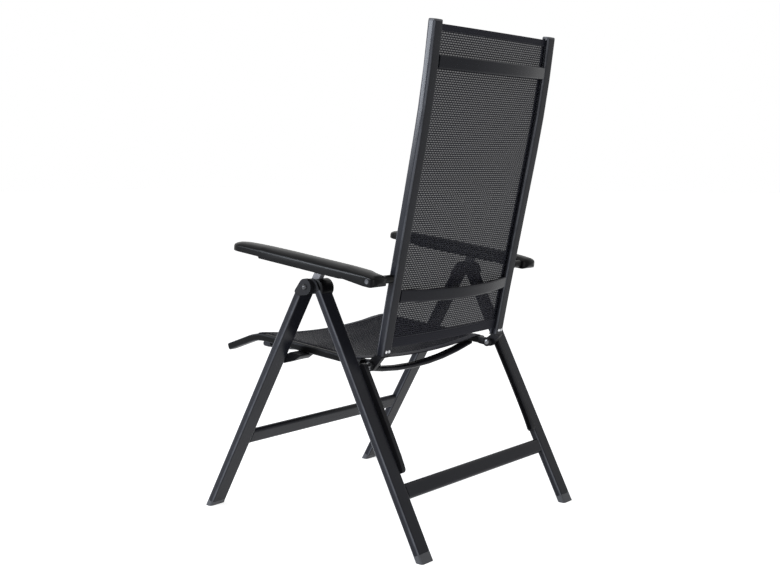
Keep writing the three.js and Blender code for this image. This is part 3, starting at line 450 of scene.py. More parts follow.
def corner_highlight_group():
    """A painted highlight in patches along a piece's rounded corners, where its corner mark says so."""
    group, given, result = new_group(
        "painted_corner_highlights",
        [
            ("Vector", "NodeSocketVector", None),
            ("Corner", "NodeSocketFloat", 0.0),
            ("Colour", "NodeSocketColor", None),
            ("Rubbed", "NodeSocketColor", None),
            ("Patch scale", "NodeSocketFloat", 26.0),
            ("Patch depth", "NodeSocketFloat", 0.4),
        ],
        [("Colour", "NodeSocketColor")],
    )
    patches = noise(group, given.outputs["Vector"], given.outputs["Patch scale"], 3.0)
    more = maths(group, "MULTIPLY", ramp(group, patches, 0.3, 0.6), given.outputs["Patch depth"])
    least = maths(group, "SUBTRACT", 1.0, given.outputs["Patch depth"])
    share = maths(group, "ADD", more, least)
    # Painted highlight: the lighter colour is mixed in along the corner mark, in patches
    highlight_share = maths(group, "MULTIPLY", given.outputs["Corner"], share)
    with_highlight = mix_colour(group, highlight_share, given.outputs["Colour"], given.outputs["Rubbed"])
    group.links.new(with_highlight, result.inputs["Colour"])
    return group


def turning_group():
    """The fine rings that turning leaves on steel."""
    group, given, result = new_group(
        "turning_marks",
        [("Vector", "NodeSocketVector", None), ("Scale", "NodeSocketFloat", 500.0)],
        [("Height", "NodeSocketFloat")],
    )
    marks = noise(group, given.outputs["Vector"], given.outputs["Scale"], 3.0, (8.0, 1.0, 1.0))
    group.links.new(marks, result.inputs["Height"])
    return group


def weave_group():
    """Open mesh in a piece's own UV, in metres: rows of slots, each row offset by half a pitch."""
    group, given, result = new_group(
        "open_weave",
        [
            ("Vector", "NodeSocketVector", None),
            ("Across", "NodeSocketFloat", 0.0084),
            ("Along", "NodeSocketFloat", 0.0047),
            ("Threads", "NodeSocketColor", None),
            ("Crowns", "NodeSocketColor", None),
            ("Slot width", "NodeSocketFloat", 0.46),
            ("Slot height", "NodeSocketFloat", 0.32),
            ("Slot start", "NodeSocketFloat", 0.65),
            ("Slot softness", "NodeSocketFloat", 0.6),
            ("Rim", "NodeSocketFloat", 1.35),
            ("Wander", "NodeSocketFloat", 0.22),
            ("Wander scale", "NodeSocketFloat", 220.0),
            ("Ribs", "NodeSocketFloat", 5.0),
            ("Picks", "NodeSocketFloat", 3.0),
            ("Rim share", "NodeSocketFloat", 0.7),
            ("Roughness", "NodeSocketFloat", 0.6),
            ("Crown gloss", "NodeSocketFloat", 0.12),
            ("Open", "NodeSocketFloat", 1.0),
        ],
        [
            ("Colour", "NodeSocketColor"),
            ("Alpha", "NodeSocketFloat"),
            ("Height", "NodeSocketFloat"),
            ("Roughness", "NodeSocketFloat"),
        ],
    )

    def add(first, second):
        return maths(group, "ADD", first, second)

    def subtract(first, second, clamp=False):
        return maths(group, "SUBTRACT", first, second, clamp=clamp)

    def multiply(first, second):
        return maths(group, "MULTIPLY", first, second)

    def divide(first, second, clamp=False):
        return maths(group, "DIVIDE", first, second, clamp=clamp)

    def wave(place, count):
        return maths(group, "COSINE", multiply(multiply(place, 2 * math.pi), count))

    value = given.outputs
    split = group.nodes.new("ShaderNodeSeparateXYZ")
    group.links.new(value["Vector"], split.inputs[0])

    # How far a point is from the middle of its slot, where 1 is about the slot's edge
    along = divide(split.outputs["Y"], value["Along"])
    row = maths(group, "ROUND", along)
    across = add(divide(split.outputs["X"], value["Across"]), multiply(row, 0.5))
    off_slot = subtract(across, maths(group, "ROUND", across))
    wide = divide(off_slot, value["Slot width"])
    high = divide(subtract(along, row), value["Slot height"])
    reach = maths(group, "SQRT", add(multiply(wide, wide), multiply(high, high)))
    wobble = noise(group, value["Vector"], value["Wander scale"], 1.0)
    reach = add(reach, multiply(subtract(wobble, 0.5), value["Wander"]))

    covered = divide(subtract(reach, value["Slot start"]), value["Slot softness"], clamp=True)
    hole = multiply(subtract(1.0, covered), value["Open"])
    group.links.new(subtract(1.0, hole), result.inputs["Alpha"])

    # Threads that cross, and a raised rim round each slot, which the bump raises and the colour paints lighter as
    # a painted highlight
    woven = multiply(wave(across, value["Ribs"]), wave(along, value["Picks"]))
    off_rim = maths(group, "ABSOLUTE", subtract(reach, value["Rim"]))
    rim = subtract(1.0, off_rim, clamp=True)
    plain_share = subtract(1.0, value["Rim share"])
    crown = add(multiply(woven, plain_share), multiply(rim, value["Rim share"]))
    lit = ramp(group, crown, 0.1, 0.9)
    tint = mix_colour(group, lit, value["Threads"], value["Crowns"])
    group.links.new(tint, result.inputs["Colour"])
    group.links.new(crown, result.inputs["Height"])
    rough = subtract(value["Roughness"], multiply(lit, value["Crown gloss"]))
    group.links.new(rough, result.inputs["Roughness"])
    return group


GROUPS = {}  # shared node groups by name, and materials by the name of their finish
FINISHES = {}


def group_node(tree, name, **values):
    """Places a shared group in a tree and sets its inputs by name."""
    node = tree.nodes.new("ShaderNodeGroup")
    node.node_tree = GROUPS[name]
    for key, value in values.items():
        socket = node.inputs[key.replace("_", " ")]
        if isinstance(value, bpy.types.NodeSocket):
            tree.links.new(value, socket)
        elif isinstance(value, (int, float)):
            socket.default_value = value
        else:
            socket.default_value = (*value, 1)
    return node


def bump(tree, height, shader, strength, distance):
    """A Bump node that feeds the shader's normal."""
    node = tree.nodes.new("ShaderNodeBump")
    node.inputs["Strength"].default_value = strength
    node.inputs["Distance"].default_value = distance
    tree.links.new(height, node.inputs["Height"])
    tree.links.new(node.outputs[0], shader.inputs["Normal"])


def new_finish(name):
    """Adds a material to FINISHES, and returns its node tree and its shader."""
    material = bpy.data.materials.new(f"{name}_finish")
    material.use_nodes = True
    FINISHES[name] = material
    tree = material.node_tree
    return tree, tree.nodes["Principled BSDF"]


def lighter(colour, share):
    """A colour times a share, which may be over or under 1."""
    return [share * c for c in colour]


def coated_finish(name, colour, clouds, roughness, grain, depth, specular, corner_highlight=None):
    """A hard finish with faint clouds and fine pimples, maybe with a painted highlight along its corners.

    The grain is the pimples' scale, and the depth is their height in metres.
    """
    tree, shader = new_finish(name)
    place = tree.nodes.new("ShaderNodeTexCoord").outputs["Object"]
    cloudy = group_node(
        tree, "clouds", Vector=place, Colour=colour, Clouds=clouds, Roughness=roughness)
    tint = cloudy.outputs["Colour"]
    # Painted highlight: a lighter colour along the rounded corners, where the corner attribute is set
    if corner_highlight:
        corner = tree.nodes.new("ShaderNodeAttribute")
        corner.attribute_name = "corner"
        with_highlight = group_node(
            tree, "painted_corner_highlights", Vector=place, Corner=corner.outputs["Fac"], Colour=tint,
            Rubbed=corner_highlight)
        tint = with_highlight.outputs["Colour"]
    tree.links.new(tint, shader.inputs["Base Color"])
    tree.links.new(cloudy.outputs["Roughness"], shader.inputs["Roughness"])
    shader.inputs["Specular IOR Level"].default_value = specular
    pimples = group_node(tree, "peel", Vector=place, Scale=grain)
    bump(tree, pimples.outputs["Height"], shader, strength=0.35, distance=depth)


def steel_finish(name, colour):
    """Turned steel with fine rings, a little dulled."""
    tree, shader = new_finish(name)
    place = tree.nodes.new("ShaderNodeTexCoord").outputs["Object"]
    cloudy = group_node(
        tree, "clouds", Vector=place, Colour=colour, Clouds=lighter(colour, 0.7),
        Scale=260.0, Roughness=0.3, Spread=0.25)
    tree.links.new(cloudy.outputs["Colour"], shader.inputs["Base Color"])
    tree.links.new(cloudy.outputs["Roughness"], shader.inputs["Roughness"])
    shader.inputs["Metallic"].default_value = 1.0
    marks = group_node(tree, "turning_marks", Vector=place)
    bump(tree, marks.outputs["Height"], shader, strength=0.2, distance=0.00005)


def mesh_finish(name, threads, crowns, open_share, specular=0.09):
    """The slings' coated mesh. The open share is how far its slots are see-through."""
    sizes = bpy.context.scene.chair_sizes
    tree, shader = new_finish(name)
    place = tree.nodes.new("ShaderNodeTexCoord").outputs["UV"]
    weave = group_node(
        tree, "open_weave", Vector=place, Across=sizes.weave_across, Along=sizes.weave_along,
        Threads=threads, Crowns=crowns, Open=open_share)
    tree.links.new(weave.outputs["Colour"], shader.inputs["Base Color"])
    tree.links.new(weave.outputs["Alpha"], shader.inputs["Alpha"])
    tree.links.new(weave.outputs["Roughness"], shader.inputs["Roughness"])
    shader.inputs["Specular IOR Level"].default_value = specular
    bump(tree, weave.outputs["Height"], shader, strength=0.3, distance=0.0002)


def finishes():
    """Every material, made once, by the record's slot or by name."""
    if FINISHES:
        return FINISHES
    colours = bpy.context.scene.chair_colours
    GROUPS["clouds"] = clouds_group()
    GROUPS["peel"] = peel_group()
    GROUPS["painted_corner_highlights"] = corner_highlight_group()
    GROUPS["turning_marks"] = turning_group()
    GROUPS["open_weave"] = weave_group()
    # Painted highlight along the rounded corners: the corner highlight colour on the frame coat, 0.3 of it on the
    # seat coat, and four times their own colour on the castings
    coated_finish(
        "frame_coat", colours.coat, colours.coat_light,
        roughness=0.26, grain=1400.0, depth=0.000012, specular=0.13, corner_highlight=colours.coat_corner_highlight)
    # Painted shade: the seat rails get a darker copy of the frame coat
    coated_finish(
        "shaded_seat_coat", colours.shaded_seat_coat, lighter(colours.shaded_seat_coat, 1.3),
        roughness=0.34, grain=1400.0, depth=0.000012, specular=0.055,
        corner_highlight=lighter(colours.coat_corner_highlight, 0.3))
    coated_finish(
        "casting", colours.casting, lighter(colours.casting, 1.5),
        roughness=0.4, grain=900.0, depth=0.00008, specular=0.11,
        corner_highlight=lighter(colours.casting, 4.0))
    coated_finish(
        "black_plastic", colours.armrest, lighter(colours.armrest, 1.5),
        roughness=0.3, grain=700.0, depth=0.00004, specular=0.085)
    coated_finish(
        "grey_plastic", colours.cap, lighter(colours.cap, 1.2),
        roughness=0.5, grain=700.0, depth=0.0001, specular=0.4)
    coated_finish(
        "pale_grey_plastic", colours.post, lighter(colours.post, 1.15),
        roughness=0.45, grain=700.0, depth=0.0001, specular=0.4)
    coated_finish(
        "stitch_thread", colours.stitching, colours.stitching_light,
        roughness=0.6, grain=2200.0, depth=0.00005, specular=0.3)
    steel_finish("dark_steel", colours.dark_steel)
    steel_finish("dull_steel", colours.dull_steel)
    steel_finish("fastener_steel", colours.steel)
    threads, crowns = colours.thread, colours.thread_crown_highlight
    mesh_finish("sling_mesh", threads, crowns, 0.415)
    # Painted shade: the seat's mesh is the back's mesh with its threads painted at 0.45 and its crowns at 0.9
    mesh_finish("shaded_seat_mesh", lighter(threads, 0.45), lighter(crowns, 0.9), 0.25, specular=0.02)
    mesh_finish("sling_hem", threads, lighter(crowns, 1.1), 0.0)
    return FINISHES


# Making pieces


def place_piece(name, bm, material, body, nodes=(), smooth=None):
    """Turns a bmesh into a piece that rides on a body and stands for CAD nodes."""
    data = bpy.data.meshes.new(name)
    bm.to_mesh(data)
    bm.free()
    data.materials.append(finishes()[material])
    if smooth is not None:
        data.shade_smooth()
        data.set_sharp_from_angle(angle=math.radians(smooth))
    piece = bpy.data.objects.new(name, data)
    bpy.context.scene.collection.objects.link(piece)
    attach(piece, body)
    if nodes:
        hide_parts(*nodes)
    return piece


def weigh_normals(piece):
    """Keeps flats flat beside small rounds."""
    weighted = piece.modifiers.new("flat_faces", "WEIGHTED_NORMAL")
    weighted.keep_sharp = True
    weighted.weight = FLAT_WEIGHT


def mark_highlight_corners(bm):
    """Marks how far each face lies on a rounded corner beside an outer or inner side, where the coat gets its
    painted highlight.
    """
    layer = bm.faces.layers.float.new("corner")
    bm.normal_update()
    for face in bm.faces:
        off_corner = abs(abs(face.normal.x) - CORNER_FACING)
        face[layer] = max(0.0, 1.0 - off_corner / CORNER_SPREAD)


def folded_edges(bm, least, most=math.inf):
    """Edges whose two faces turn by an angle between the two given."""
    return [
        edge for edge in bm.edges
        if len(edge.link_faces) == 2 and least < edge.calc_face_angle(0) < most
    ]


def ease(bm, edges, width, steps):
    """Rounds edges off."""
    bmesh.ops.bevel(
        bm, geom=edges, offset=width, offset_type="OFFSET", segments=steps, profile=0.5,
        affect="EDGES", clamp_overlap=True, material=-1)


def refine(node, edge=None, crease=40, soften=0.0, finish=None, steps=2, slim=None):
    """A copy of a CAD node with its triangles merged into flats and its sharp edges eased.

    The few flats of its rounded corners get more steps where soften is given. A bowed bar, whose
    edge is 0, keeps its edges and gets no painted corner highlight anywhere.
    """
    if edge is None:
        edge = bpy.context.scene.chair_sizes.edge
    bm = bmesh.new()
    bm.from_mesh(frame["nodes"][node].data)
    bmesh.ops.remove_doubles(bm, verts=bm.verts, dist=MERGE_DISTANCE)
    bmesh.ops.dissolve_limit(bm, angle_limit=FLAT_ANGLE, verts=bm.verts, edges=bm.edges)
    if soften > 0:
        ease(bm, folded_edges(bm, *TUBE_CORNER_ANGLES), soften, 3)
    if edge > 0:
        sharp = folded_edges(bm, math.radians(crease + BEVEL_BEYOND_CREASE))
        if sharp:
            ease(bm, sharp, edge, steps)
    if slim:
        low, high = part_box(node)
        middle = (Vector(low) + Vector(high)) / 2
        bmesh.ops.scale(bm, verts=bm.verts, vec=slim, space=Matrix.Translation(-middle))
    # Only pieces with eased edges get the painted corner highlight
    if edge > 0:
        mark_highlight_corners(bm)
    piece = place_piece(
        f"{node}_finished", bm, finish or SLOT_OF[node], BODY_OF[node], (node,),
        smooth=crease)
    weigh_normals(piece)


def refine_pair(name, **options):
    """Both sides of a pair."""
    for side in ("left", "right"):
        refine(f"{name}_{side}", **options)


def mirror(bm):
    """Turns a piece of the chair's left into one of its right."""
    bmesh.ops.scale(bm, verts=bm.verts, vec=(-1, 1, 1))


def spun(profile, centre, sides=40, mirrored=False):
    """A turned shape about an axis across the chair, from (radius, x) pairs.

    A profile that starts on the axis ends there too. Any other one is closed.
    """
    bm = bmesh.new()
    verts = [bm.verts.new((x, radius, 0)) for radius, x in profile]
    closing = verts[:1] if profile[0][0] > 0 else []
    edges = [bm.edges.new(pair) for pair in zip(verts, verts[1:] + closing)]
    bmesh.ops.spin(
        bm, geom=verts + edges, cent=(0, 0, 0), axis=(1, 0, 0), angle=2 * math.pi,
        steps=sides, use_merge=True, use_duplicate=False)
    bmesh.ops.remove_doubles(bm, verts=bm.verts, dist=FINE_MERGE_DISTANCE)
    bmesh.ops.translate(bm, verts=bm.verts, vec=centre)
    if mirrored:
        mirror(bm)
    bmesh.ops.recalc_face_normals(bm, faces=bm.faces)
    return bm


def off_hinge(vert):
    """How far a point is from the legs' hinge line, before it is put in place."""
    return math.hypot(vert.co.y, vert.co.z)


def head_shoulder(mirrored):
    """The rounded back of a rear leg's head, behind the sweep of the fork's cheeks."""
    near, far = SHOULDER_SIDES
    first, last = SHOULDER_ARC
    bm = bmesh.new()
    corners = [
        (near, SHOULDER_REACH), (far, SHOULDER_REACH), (far, SHOULDER_BLANK),
        (near, SHOULDER_BLANK),
    ]
    verts = [bm.verts.new((x, r * math.cos(first), r * math.sin(first))) for x, r in corners]
    bmesh.ops.spin(
        bm, geom=[bm.faces.new(verts)], cent=(0, 0, 0), axis=(1, 0, 0), angle=last - first,
        steps=20, use_merge=False, use_duplicate=False)
    bmesh.ops.remove_doubles(bm, verts=bm.verts, dist=FINE_MERGE_DISTANCE)

    # The outer side is drawn out to a round about its own centre
    rear, up = SHOULDER_CENTRE
    for vert in bm.verts:
        radius = off_hinge(vert)
        if radius > SHOULDER_OUTER:
            angle = math.atan2(vert.co.z, vert.co.y)
            to_centre = rear * math.cos(angle) + up * math.sin(angle)
            grown = to_centre + math.sqrt(
                to_centre**2 + SHOULDER_RADIUS**2 - rear**2 - up**2)
            bmesh.ops.scale(bm, verts=[vert], vec=(1, grown / radius, grown / radius))

    bmesh.ops.bisect_plane(
        bm, geom=bm.verts[:] + bm.edges[:] + bm.faces[:],
        plane_co=SHOULDER_CUT * SHOULDER_CUT_FACING, plane_no=SHOULDER_CUT_FACING,
        clear_inner=True)
    bmesh.ops.holes_fill(bm, edges=[e for e in bm.edges if e.is_boundary], sides=0)
    bmesh.ops.recalc_face_normals(bm, faces=bm.faces)
    rims = [
        edge for edge in folded_edges(bm, math.radians(60))
        if max(off_hinge(vert) for vert in edge.verts) > SHOULDER_RIM
    ]
    ease(bm, rims, SHOULDER_ROUND, 3)
    bmesh.ops.dissolve_degenerate(bm, dist=MERGE_DISTANCE, edges=bm.edges)
    bmesh.ops.translate(bm, verts=bm.verts, vec=HINGE)
    if mirrored:
        mirror(bm)
        bmesh.ops.recalc_face_normals(bm, faces=bm.faces)
    return bm


# Steps that build the chair


class CHAIR_OT_legs(bpy.types.Operator):
    """Legs, crossbars, hinge heads, tracks, posts and foot caps"""

    bl_idname = "patio_chair.legs"
    bl_label = "Legs"

    def execute(self, context):
        for name in ("front_leg", "rear_leg", "front_foot_cap", "rear_foot_cap"):
            refine_pair(name, soften=0.0012)
        for name in ("front_leg_head", "rear_leg_head"):
            refine_pair(name)
        refine_pair("guide_track", edge=0.001)
        refine_pair("lock_post", slim=(0.64, 0.8, 1))
        for side, mirrored in (("left", False), ("right", True)):
            place_piece(
                f"head_shoulder_{side}", head_shoulder(mirrored), "black_plastic", "rear_legs",
                smooth=CREASE_SMALL)
        refine("front_leg_crossbar")
        refine("rear_leg_crossbar")
        return {"FINISHED"}


class CHAIR_OT_seat_frame(bpy.types.Operator):
    """Seat rails, their tips and brackets, and the stays under the seat"""

    bl_idname = "patio_chair.seat_frame"
    bl_label = "Seat Frame"

    def execute(self, context):
        for name in ("seat_rail", "seat_rail_tip"):
            refine_pair(name, soften=0.0009, finish="shaded_seat_coat")
        for name in ("seat_rear_bracket", "seat_pivot_bracket"):
            refine_pair(name)
        refine("seat_rear_stay", edge=0)
        refine("seat_front_stay", edge=0)
        return {"FINISHED"}


class CHAIR_OT_back_frame(bpy.types.Operator):
    """Back rails with caps and brackets, and the bars across the back"""

    bl_idname = "patio_chair.back_frame"
    bl_label = "Back Frame"

    def execute(self, context):
        for name in ("back_rail", "back_top_cap"):
            refine_pair(name, soften=0.0012)
        refine_pair("back_foot_bracket")
        refine("back_lower_bar", edge=0)
        refine("back_upper_bar", edge=0)
        return {"FINISHED"}


class CHAIR_OT_armrests(bpy.types.Operator):
    """Moulded armrests"""

    bl_idname = "patio_chair.armrests"
    bl_label = "Armrests"

    def execute(self, context):
        refine_pair("armrest", edge=0.0022, crease=36, steps=4)
        return {"FINISHED"}


class CHAIR_OT_fasteners(bpy.types.Operator):
    """Bolts, pins and their caps, rivets, rollers, washers, bushes and rings"""

    bl_idname = "patio_chair.fasteners"
    bl_label = "Fasteners"

    def execute(self, context):
        refine_pair("leg_hinge_bolt", edge=0, crease=CREASE_SMALL, finish="dark_steel")
        for name in ("rear_pivot_bolt", "track_roller"):
            refine_pair(name, edge=0, crease=CREASE_SMALL, finish="dull_steel")
        for side, mirrored in (("left", False), ("right", True)):
            place_piece(
                f"arm_pin_cap_{side}", spun(PIN_CAP, ARM_PIVOT, mirrored=mirrored),
                "grey_plastic", f"armrest_{side}_lifting",
                smooth=CREASE_SMALL)
            for name, profile in PIVOT_RINGS.items():
                place_piece(
                    f"pivot_ring_{name}_{side}", spun(profile, REAR_PIVOT, mirrored=mirrored),
                    "casting", "rear_pivots", smooth=CREASE_SMALL)
        for name in (
            "seat_pivot_rivet", "back_rail_rivet_1", "back_rail_rivet_2",
            "arm_pivot_pin", "arm_pivot_washer", "arm_pivot_bush",
        ):
            refine_pair(name, edge=0, crease=CREASE_SMALL)
        return {"FINISHED"}


def cloth_grid(steps, place, lengths):
    """A grid of cloth with UVs in metres: place(share across, share along) gives its points."""
    bm = bmesh.new()
    bmesh.ops.create_grid(bm, x_segments=steps[0], y_segments=steps[1], size=0.5)
    shares = {v: (v.co.x + 0.5, v.co.y + 0.5) for v in bm.verts}
    uv = bm.loops.layers.uv.new("cloth")
    for face in bm.faces:
        for loop in face.loops:
            across, along = shares[loop.vert]
            loop[uv].uv = (across * lengths[0], along * lengths[1])
    for vert, share in shares.items():
        vert.co = place(*share)
    bmesh.ops.recalc_face_normals(bm, faces=bm.faces)
    return bm


def thicken(piece, thickness):
    """Gives cloth its thickness, half to each side."""
    solid = piece.modifiers.new("cloth_thickness", "SOLIDIFY")
    solid.thickness = thickness
    solid.offset = 0


def make_hem(name, body, place, start, end, half_width, layers, rounding):
    """A hem over the cloth at place(x, distance), from start to end.

    Its thickness is given in layers of cloth, and the round of its edge as a share of one.
    """
    cloth = bpy.context.scene.chair_sizes.cloth
    width, tall = 2 * half_width, end - start

    def hem_place(across, along):
        return place((across - 0.5) * width, start + along * tall)

    hem = place_piece(
        name, cloth_grid(HEM_GRID, hem_place, (width, tall)), "sling_hem", body,
        smooth=CREASE_NONE)
    thicken(hem, layers * cloth)
    rounded = hem.modifiers.new("soft_edge", "BEVEL")
    rounded.width = rounding * cloth
    rounded.segments = 2
    return hem


def stitch_row(name, body, half_width, place):
    """A row of short stitches across the chair: place(x) gives each one's middle and its out."""
    pitch = bpy.context.scene.chair_sizes.stitch
    stitch_size = (STITCH_SHARE * pitch, STITCH_WIDTH, STITCH_HEIGHT)
    along = Vector((1, 0, 0))
    length = 2 * half_width
    count = int(length / pitch)
    bm = bmesh.new()
    for i in range(count):
        middle, out = place((i + 0.5) * length / count - half_width)
        side = along.cross(out).normalized()
        made = bmesh.ops.create_icosphere(bm, subdivisions=1, radius=0.5)
        bmesh.ops.scale(bm, verts=made["verts"], vec=stitch_size)
        turn = Matrix((along, side, out)).transposed().to_4x4()
        bmesh.ops.transform(bm, verts=made["verts"], matrix=Matrix.Translation(middle) @ turn)
    return place_piece(
        name, bm, "stitch_thread", body, smooth=CREASE_NONE)


def back_cloth_place(x, up, behind=0.0):
    """A place on the back sling, which gives a little to the rear between its rails."""
    place, _, out = back_place(up)
    sag = BACK_SLING_SAG * max(0.0, 1 - (x / BACK_INNER) ** 2)
    return Vector((x, 0, 0)) + place + (sag + behind) * out


def seat_cloth_place(x, forward, lift=0.0):
    """A place on the seat sling, which lies over its rails and sags between them."""
    place, up = seat_place(forward)
    share = min(1.0, abs(x) / SEAT_SAG_REACH)
    height = SEAT_RAIL_TOP + CLOTH_LIFT - SEAT_SLING_SAG * (1 - share**2)
    return Vector((x, 0, 0)) + place + (height + lift) * up


class CHAIR_OT_back_sling(bpy.types.Operator):
    """The back's mesh with its hems and stitching"""

    bl_idname = "patio_chair.back_sling"
    bl_label = "Back Sling"

    def execute(self, context):
        sizes = context.scene.chair_sizes
        low, high = BACK_SLING_UP
        width, length = 2 * BACK_SLING_EDGE, high - low

        def cloth_place(across, along):
            return back_cloth_place((across - 0.5) * width, low + along * length)

        cloth = place_piece(
            "back_cloth", cloth_grid(BACK_GRID, cloth_place, (width, length)),
            "sling_mesh", "back", ("back_sling",), smooth=CREASE_NONE)
        thicken(cloth, sizes.cloth)
        top, bottom = high - sizes.top_hem, low + sizes.bottom_hem
        extras = [
            make_hem(
                name, "back", back_cloth_place, start, end, BACK_HEM_REACH, BACK_HEM_LAYERS,
                rounding=0.9)
            for name, start, end in (
                ("back_top_hem", top, high),
                ("back_bottom_hem", low, bottom),
            )
        ]
        for name, up in (
            ("back_top_stitches", top + BACK_STITCH_INSET),
            ("back_bottom_stitches", bottom - BACK_STITCH_INSET),
        ):
            _, _, out = back_place(up)
            for side, sign in (("rear", 1), ("front", -1)):
                lift = sign * BACK_STITCH_LIFT * sizes.cloth

                def stitch_place(x, up=up, lift=lift, out=sign * out):
                    return back_cloth_place(x, up, lift), out

                extras.append(
                    stitch_row(f"{name}_{side}", "back", BACK_STITCH_REACH, stitch_place))
        return {"FINISHED"}


class CHAIR_OT_seat_sling(bpy.types.Operator):
    """The seat's mesh with its hems and stitching"""

    bl_idname = "patio_chair.seat_sling"
    bl_label = "Seat Sling"

    def execute(self, context):
        sizes = context.scene.chair_sizes
        rear = SEAT_SLING_SETBACK
        front = SEAT_STRAIGHT + SEAT_BEND_RADIUS * SEAT_BEND / 2
        width, length = 2 * SEAT_SLOT, front - rear

        def cloth_place(across, along):
            dip = SEAT_EDGE_DIP if across in (0.0, 1.0) else 0.0
            return seat_cloth_place((across - 0.5) * width, rear + along * length, -dip)

        cloth = place_piece(
            "seat_cloth", cloth_grid(SEAT_GRID, cloth_place, (width, length)),
            "shaded_seat_mesh", "seat", ("seat_sling",), smooth=CREASE_NONE)
        thicken(cloth, sizes.cloth)
        extras = [
            make_hem(
                name, "seat", seat_cloth_place, start, end, SEAT_HEM_REACH, SEAT_HEM_LAYERS,
                rounding=0.8)
            for name, start, end in (
                ("seat_front_hem", front - SEAT_HEM, front),
                ("seat_rear_hem", rear, rear + SEAT_HEM),
            )
        ]
        for name, forward in (
            ("seat_front_stitches", front - SEAT_HEM + SEAT_STITCH_INSET),
            ("seat_rear_stitches", rear + SEAT_HEM - SEAT_STITCH_INSET),
        ):
            _, up = seat_place(forward)

            def stitch_place(x, forward=forward, up=up):
                return seat_cloth_place(x, forward, SEAT_STITCH_LIFT * sizes.cloth), up

            extras.append(stitch_row(name, "seat", SEAT_INNER, stitch_place))
        return {"FINISHED"}


def seen_directly(tree):
    """1 for what the camera sees, also through or in glossy and clear surfaces, and else 0."""
    rays = tree.nodes.new("ShaderNodeLightPath")
    seen = maths(
        tree, "MAXIMUM", rays.outputs["Is Camera Ray"], rays.outputs["Is Glossy Ray"])
    return maths(tree, "MAXIMUM", seen, rays.outputs["Is Transmission Ray"])


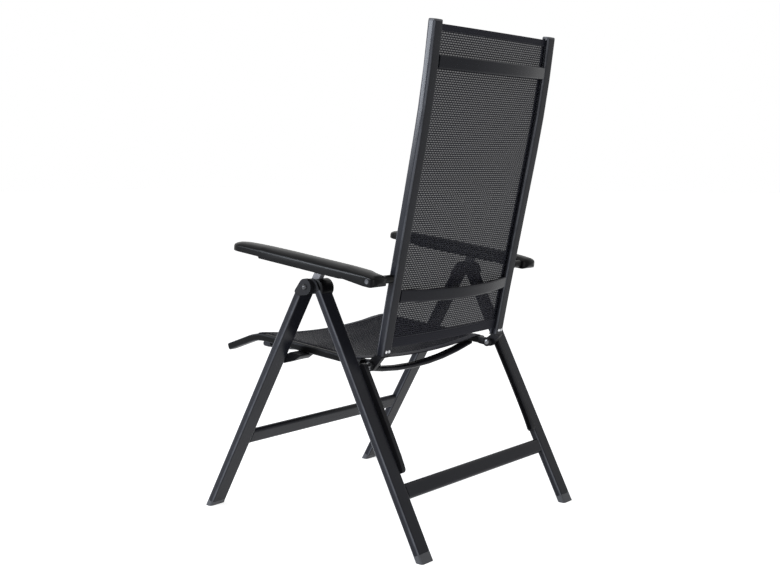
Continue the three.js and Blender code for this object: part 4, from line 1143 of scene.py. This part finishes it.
class CHAIR_OT_stage(bpy.types.Operator):
    """Floor, backdrop, lamps and camera"""

    bl_idname = "patio_chair.stage"
    bl_label = "Stage"

    def execute(self, context):
        settings = context.scene.chair_stage
        self.floor(settings)
        self.world(settings)
        for lamp in LAMPS:
            self.lamp(*lamp)
        self.camera(settings)
        context.scene.view_settings.view_transform = "Standard"
        return {"FINISHED"}

    def floor(self, settings):
        bm = bmesh.new()
        bmesh.ops.create_grid(bm, x_segments=1, y_segments=1, size=FLOOR_REACH)
        data = bpy.data.meshes.new("floor")
        bm.to_mesh(data)
        bm.free()
        tree, shader = new_finish("floor")
        shader.inputs["Base Color"].default_value = (0.86, 0.86, 0.86, 1)
        shader.inputs["Roughness"].default_value = 0.9
        shader.inputs["Specular IOR Level"].default_value = 0.1
        glow = tree.nodes.new("ShaderNodeEmission")
        glow.inputs["Color"].default_value = (*WHITE, 1)
        strength = maths(tree, "MULTIPLY", seen_directly(tree), settings.floor_glow)
        tree.links.new(strength, glow.inputs["Strength"])
        both = tree.nodes.new("ShaderNodeAddShader")
        tree.links.new(shader.outputs[0], both.inputs[0])
        tree.links.new(glow.outputs[0], both.inputs[1])
        tree.links.new(both.outputs[0], tree.nodes["Material Output"].inputs["Surface"])
        data.materials.append(FINISHES["floor"])
        floor = bpy.data.objects.new("floor", data)
        bpy.context.scene.collection.objects.link(floor)

    def world(self, settings):
        world = bpy.context.scene.world or bpy.data.worlds.new("room")
        bpy.context.scene.world = world
        world.use_nodes = True
        tree = world.node_tree
        background = tree.nodes["Background"]
        background.inputs["Color"].default_value = (*WHITE, 1)
        extra = maths(tree, "MULTIPLY", seen_directly(tree), 1.0 - settings.room)
        strength = maths(tree, "ADD", extra, settings.room)
        tree.links.new(strength, background.inputs["Strength"])

    def lamp(self, name, place, size, power, colour):
        light = bpy.data.lights.new(name, "AREA")
        light.shape = "RECTANGLE"
        light.size, light.size_y = size
        light.energy = power
        light.color = colour
        lamp = bpy.data.objects.new(name, light)
        lamp.location = place
        aim = LAMP_AIM - Vector(place)
        lamp.rotation_euler = aim.to_track_quat("-Z", "Y").to_euler()
        bpy.context.scene.collection.objects.link(lamp)

    def camera(self, settings):
        camera = bpy.data.cameras.new("camera")
        camera.sensor_width = SENSOR_WIDTH
        camera.sensor_fit = "HORIZONTAL"
        camera.lens = settings.lens
        camera.clip_end = SIGHT
        holder = bpy.data.objects.new("camera", camera)
        holder.location = settings.eye
        holder.rotation_euler = (math.pi / 2 - settings.tilt, 0, settings.heading)
        bpy.context.scene.collection.objects.link(holder)
        bpy.context.scene.camera = holder


STEPS = (
    CHAIR_OT_legs,
    CHAIR_OT_seat_frame,
    CHAIR_OT_back_frame,
    CHAIR_OT_armrests,
    CHAIR_OT_fasteners,
    CHAIR_OT_back_sling,
    CHAIR_OT_seat_sling,
    CHAIR_OT_stage,
)


class CHAIR_PT_panel(bpy.types.Panel):
    """Steps that build the chair, and its settings"""

    bl_idname = "CHAIR_PT_panel"
    bl_label = "Patio Chair"
    bl_space_type = "VIEW_3D"
    bl_region_type = "UI"
    bl_category = "Patio Chair"

    def draw(self, context):
        for step in STEPS:
            self.layout.operator(step.bl_idname)
        for group in ("chair_colours", "chair_sizes", "chair_stage"):
            settings = getattr(context.scene, group)
            box = self.layout.box()
            for name in settings.__annotations__:
                box.prop(settings, name)


CLASSES = (ChairColours, ChairSizes, StageSettings, *STEPS, CHAIR_PT_panel)


def register():
    for item in CLASSES:
        bpy.utils.register_class(item)
    bpy.types.Scene.chair_colours = bpy.props.PointerProperty(type=ChairColours)
    bpy.types.Scene.chair_sizes = bpy.props.PointerProperty(type=ChairSizes)
    bpy.types.Scene.chair_stage = bpy.props.PointerProperty(type=StageSettings)


def unregister():
    del bpy.types.Scene.chair_colours
    del bpy.types.Scene.chair_sizes
    del bpy.types.Scene.chair_stage
    for item in reversed(CLASSES):
        bpy.utils.unregister_class(item)


def main():
    register()
    bpy.ops.patio_chair.legs()
    bpy.ops.patio_chair.seat_frame()
    bpy.ops.patio_chair.back_frame()
    bpy.ops.patio_chair.armrests()
    bpy.ops.patio_chair.fasteners()
    bpy.ops.patio_chair.back_sling()
    bpy.ops.patio_chair.seat_sling()
    bpy.ops.patio_chair.stage()


if __name__ == "__main__":
    main()
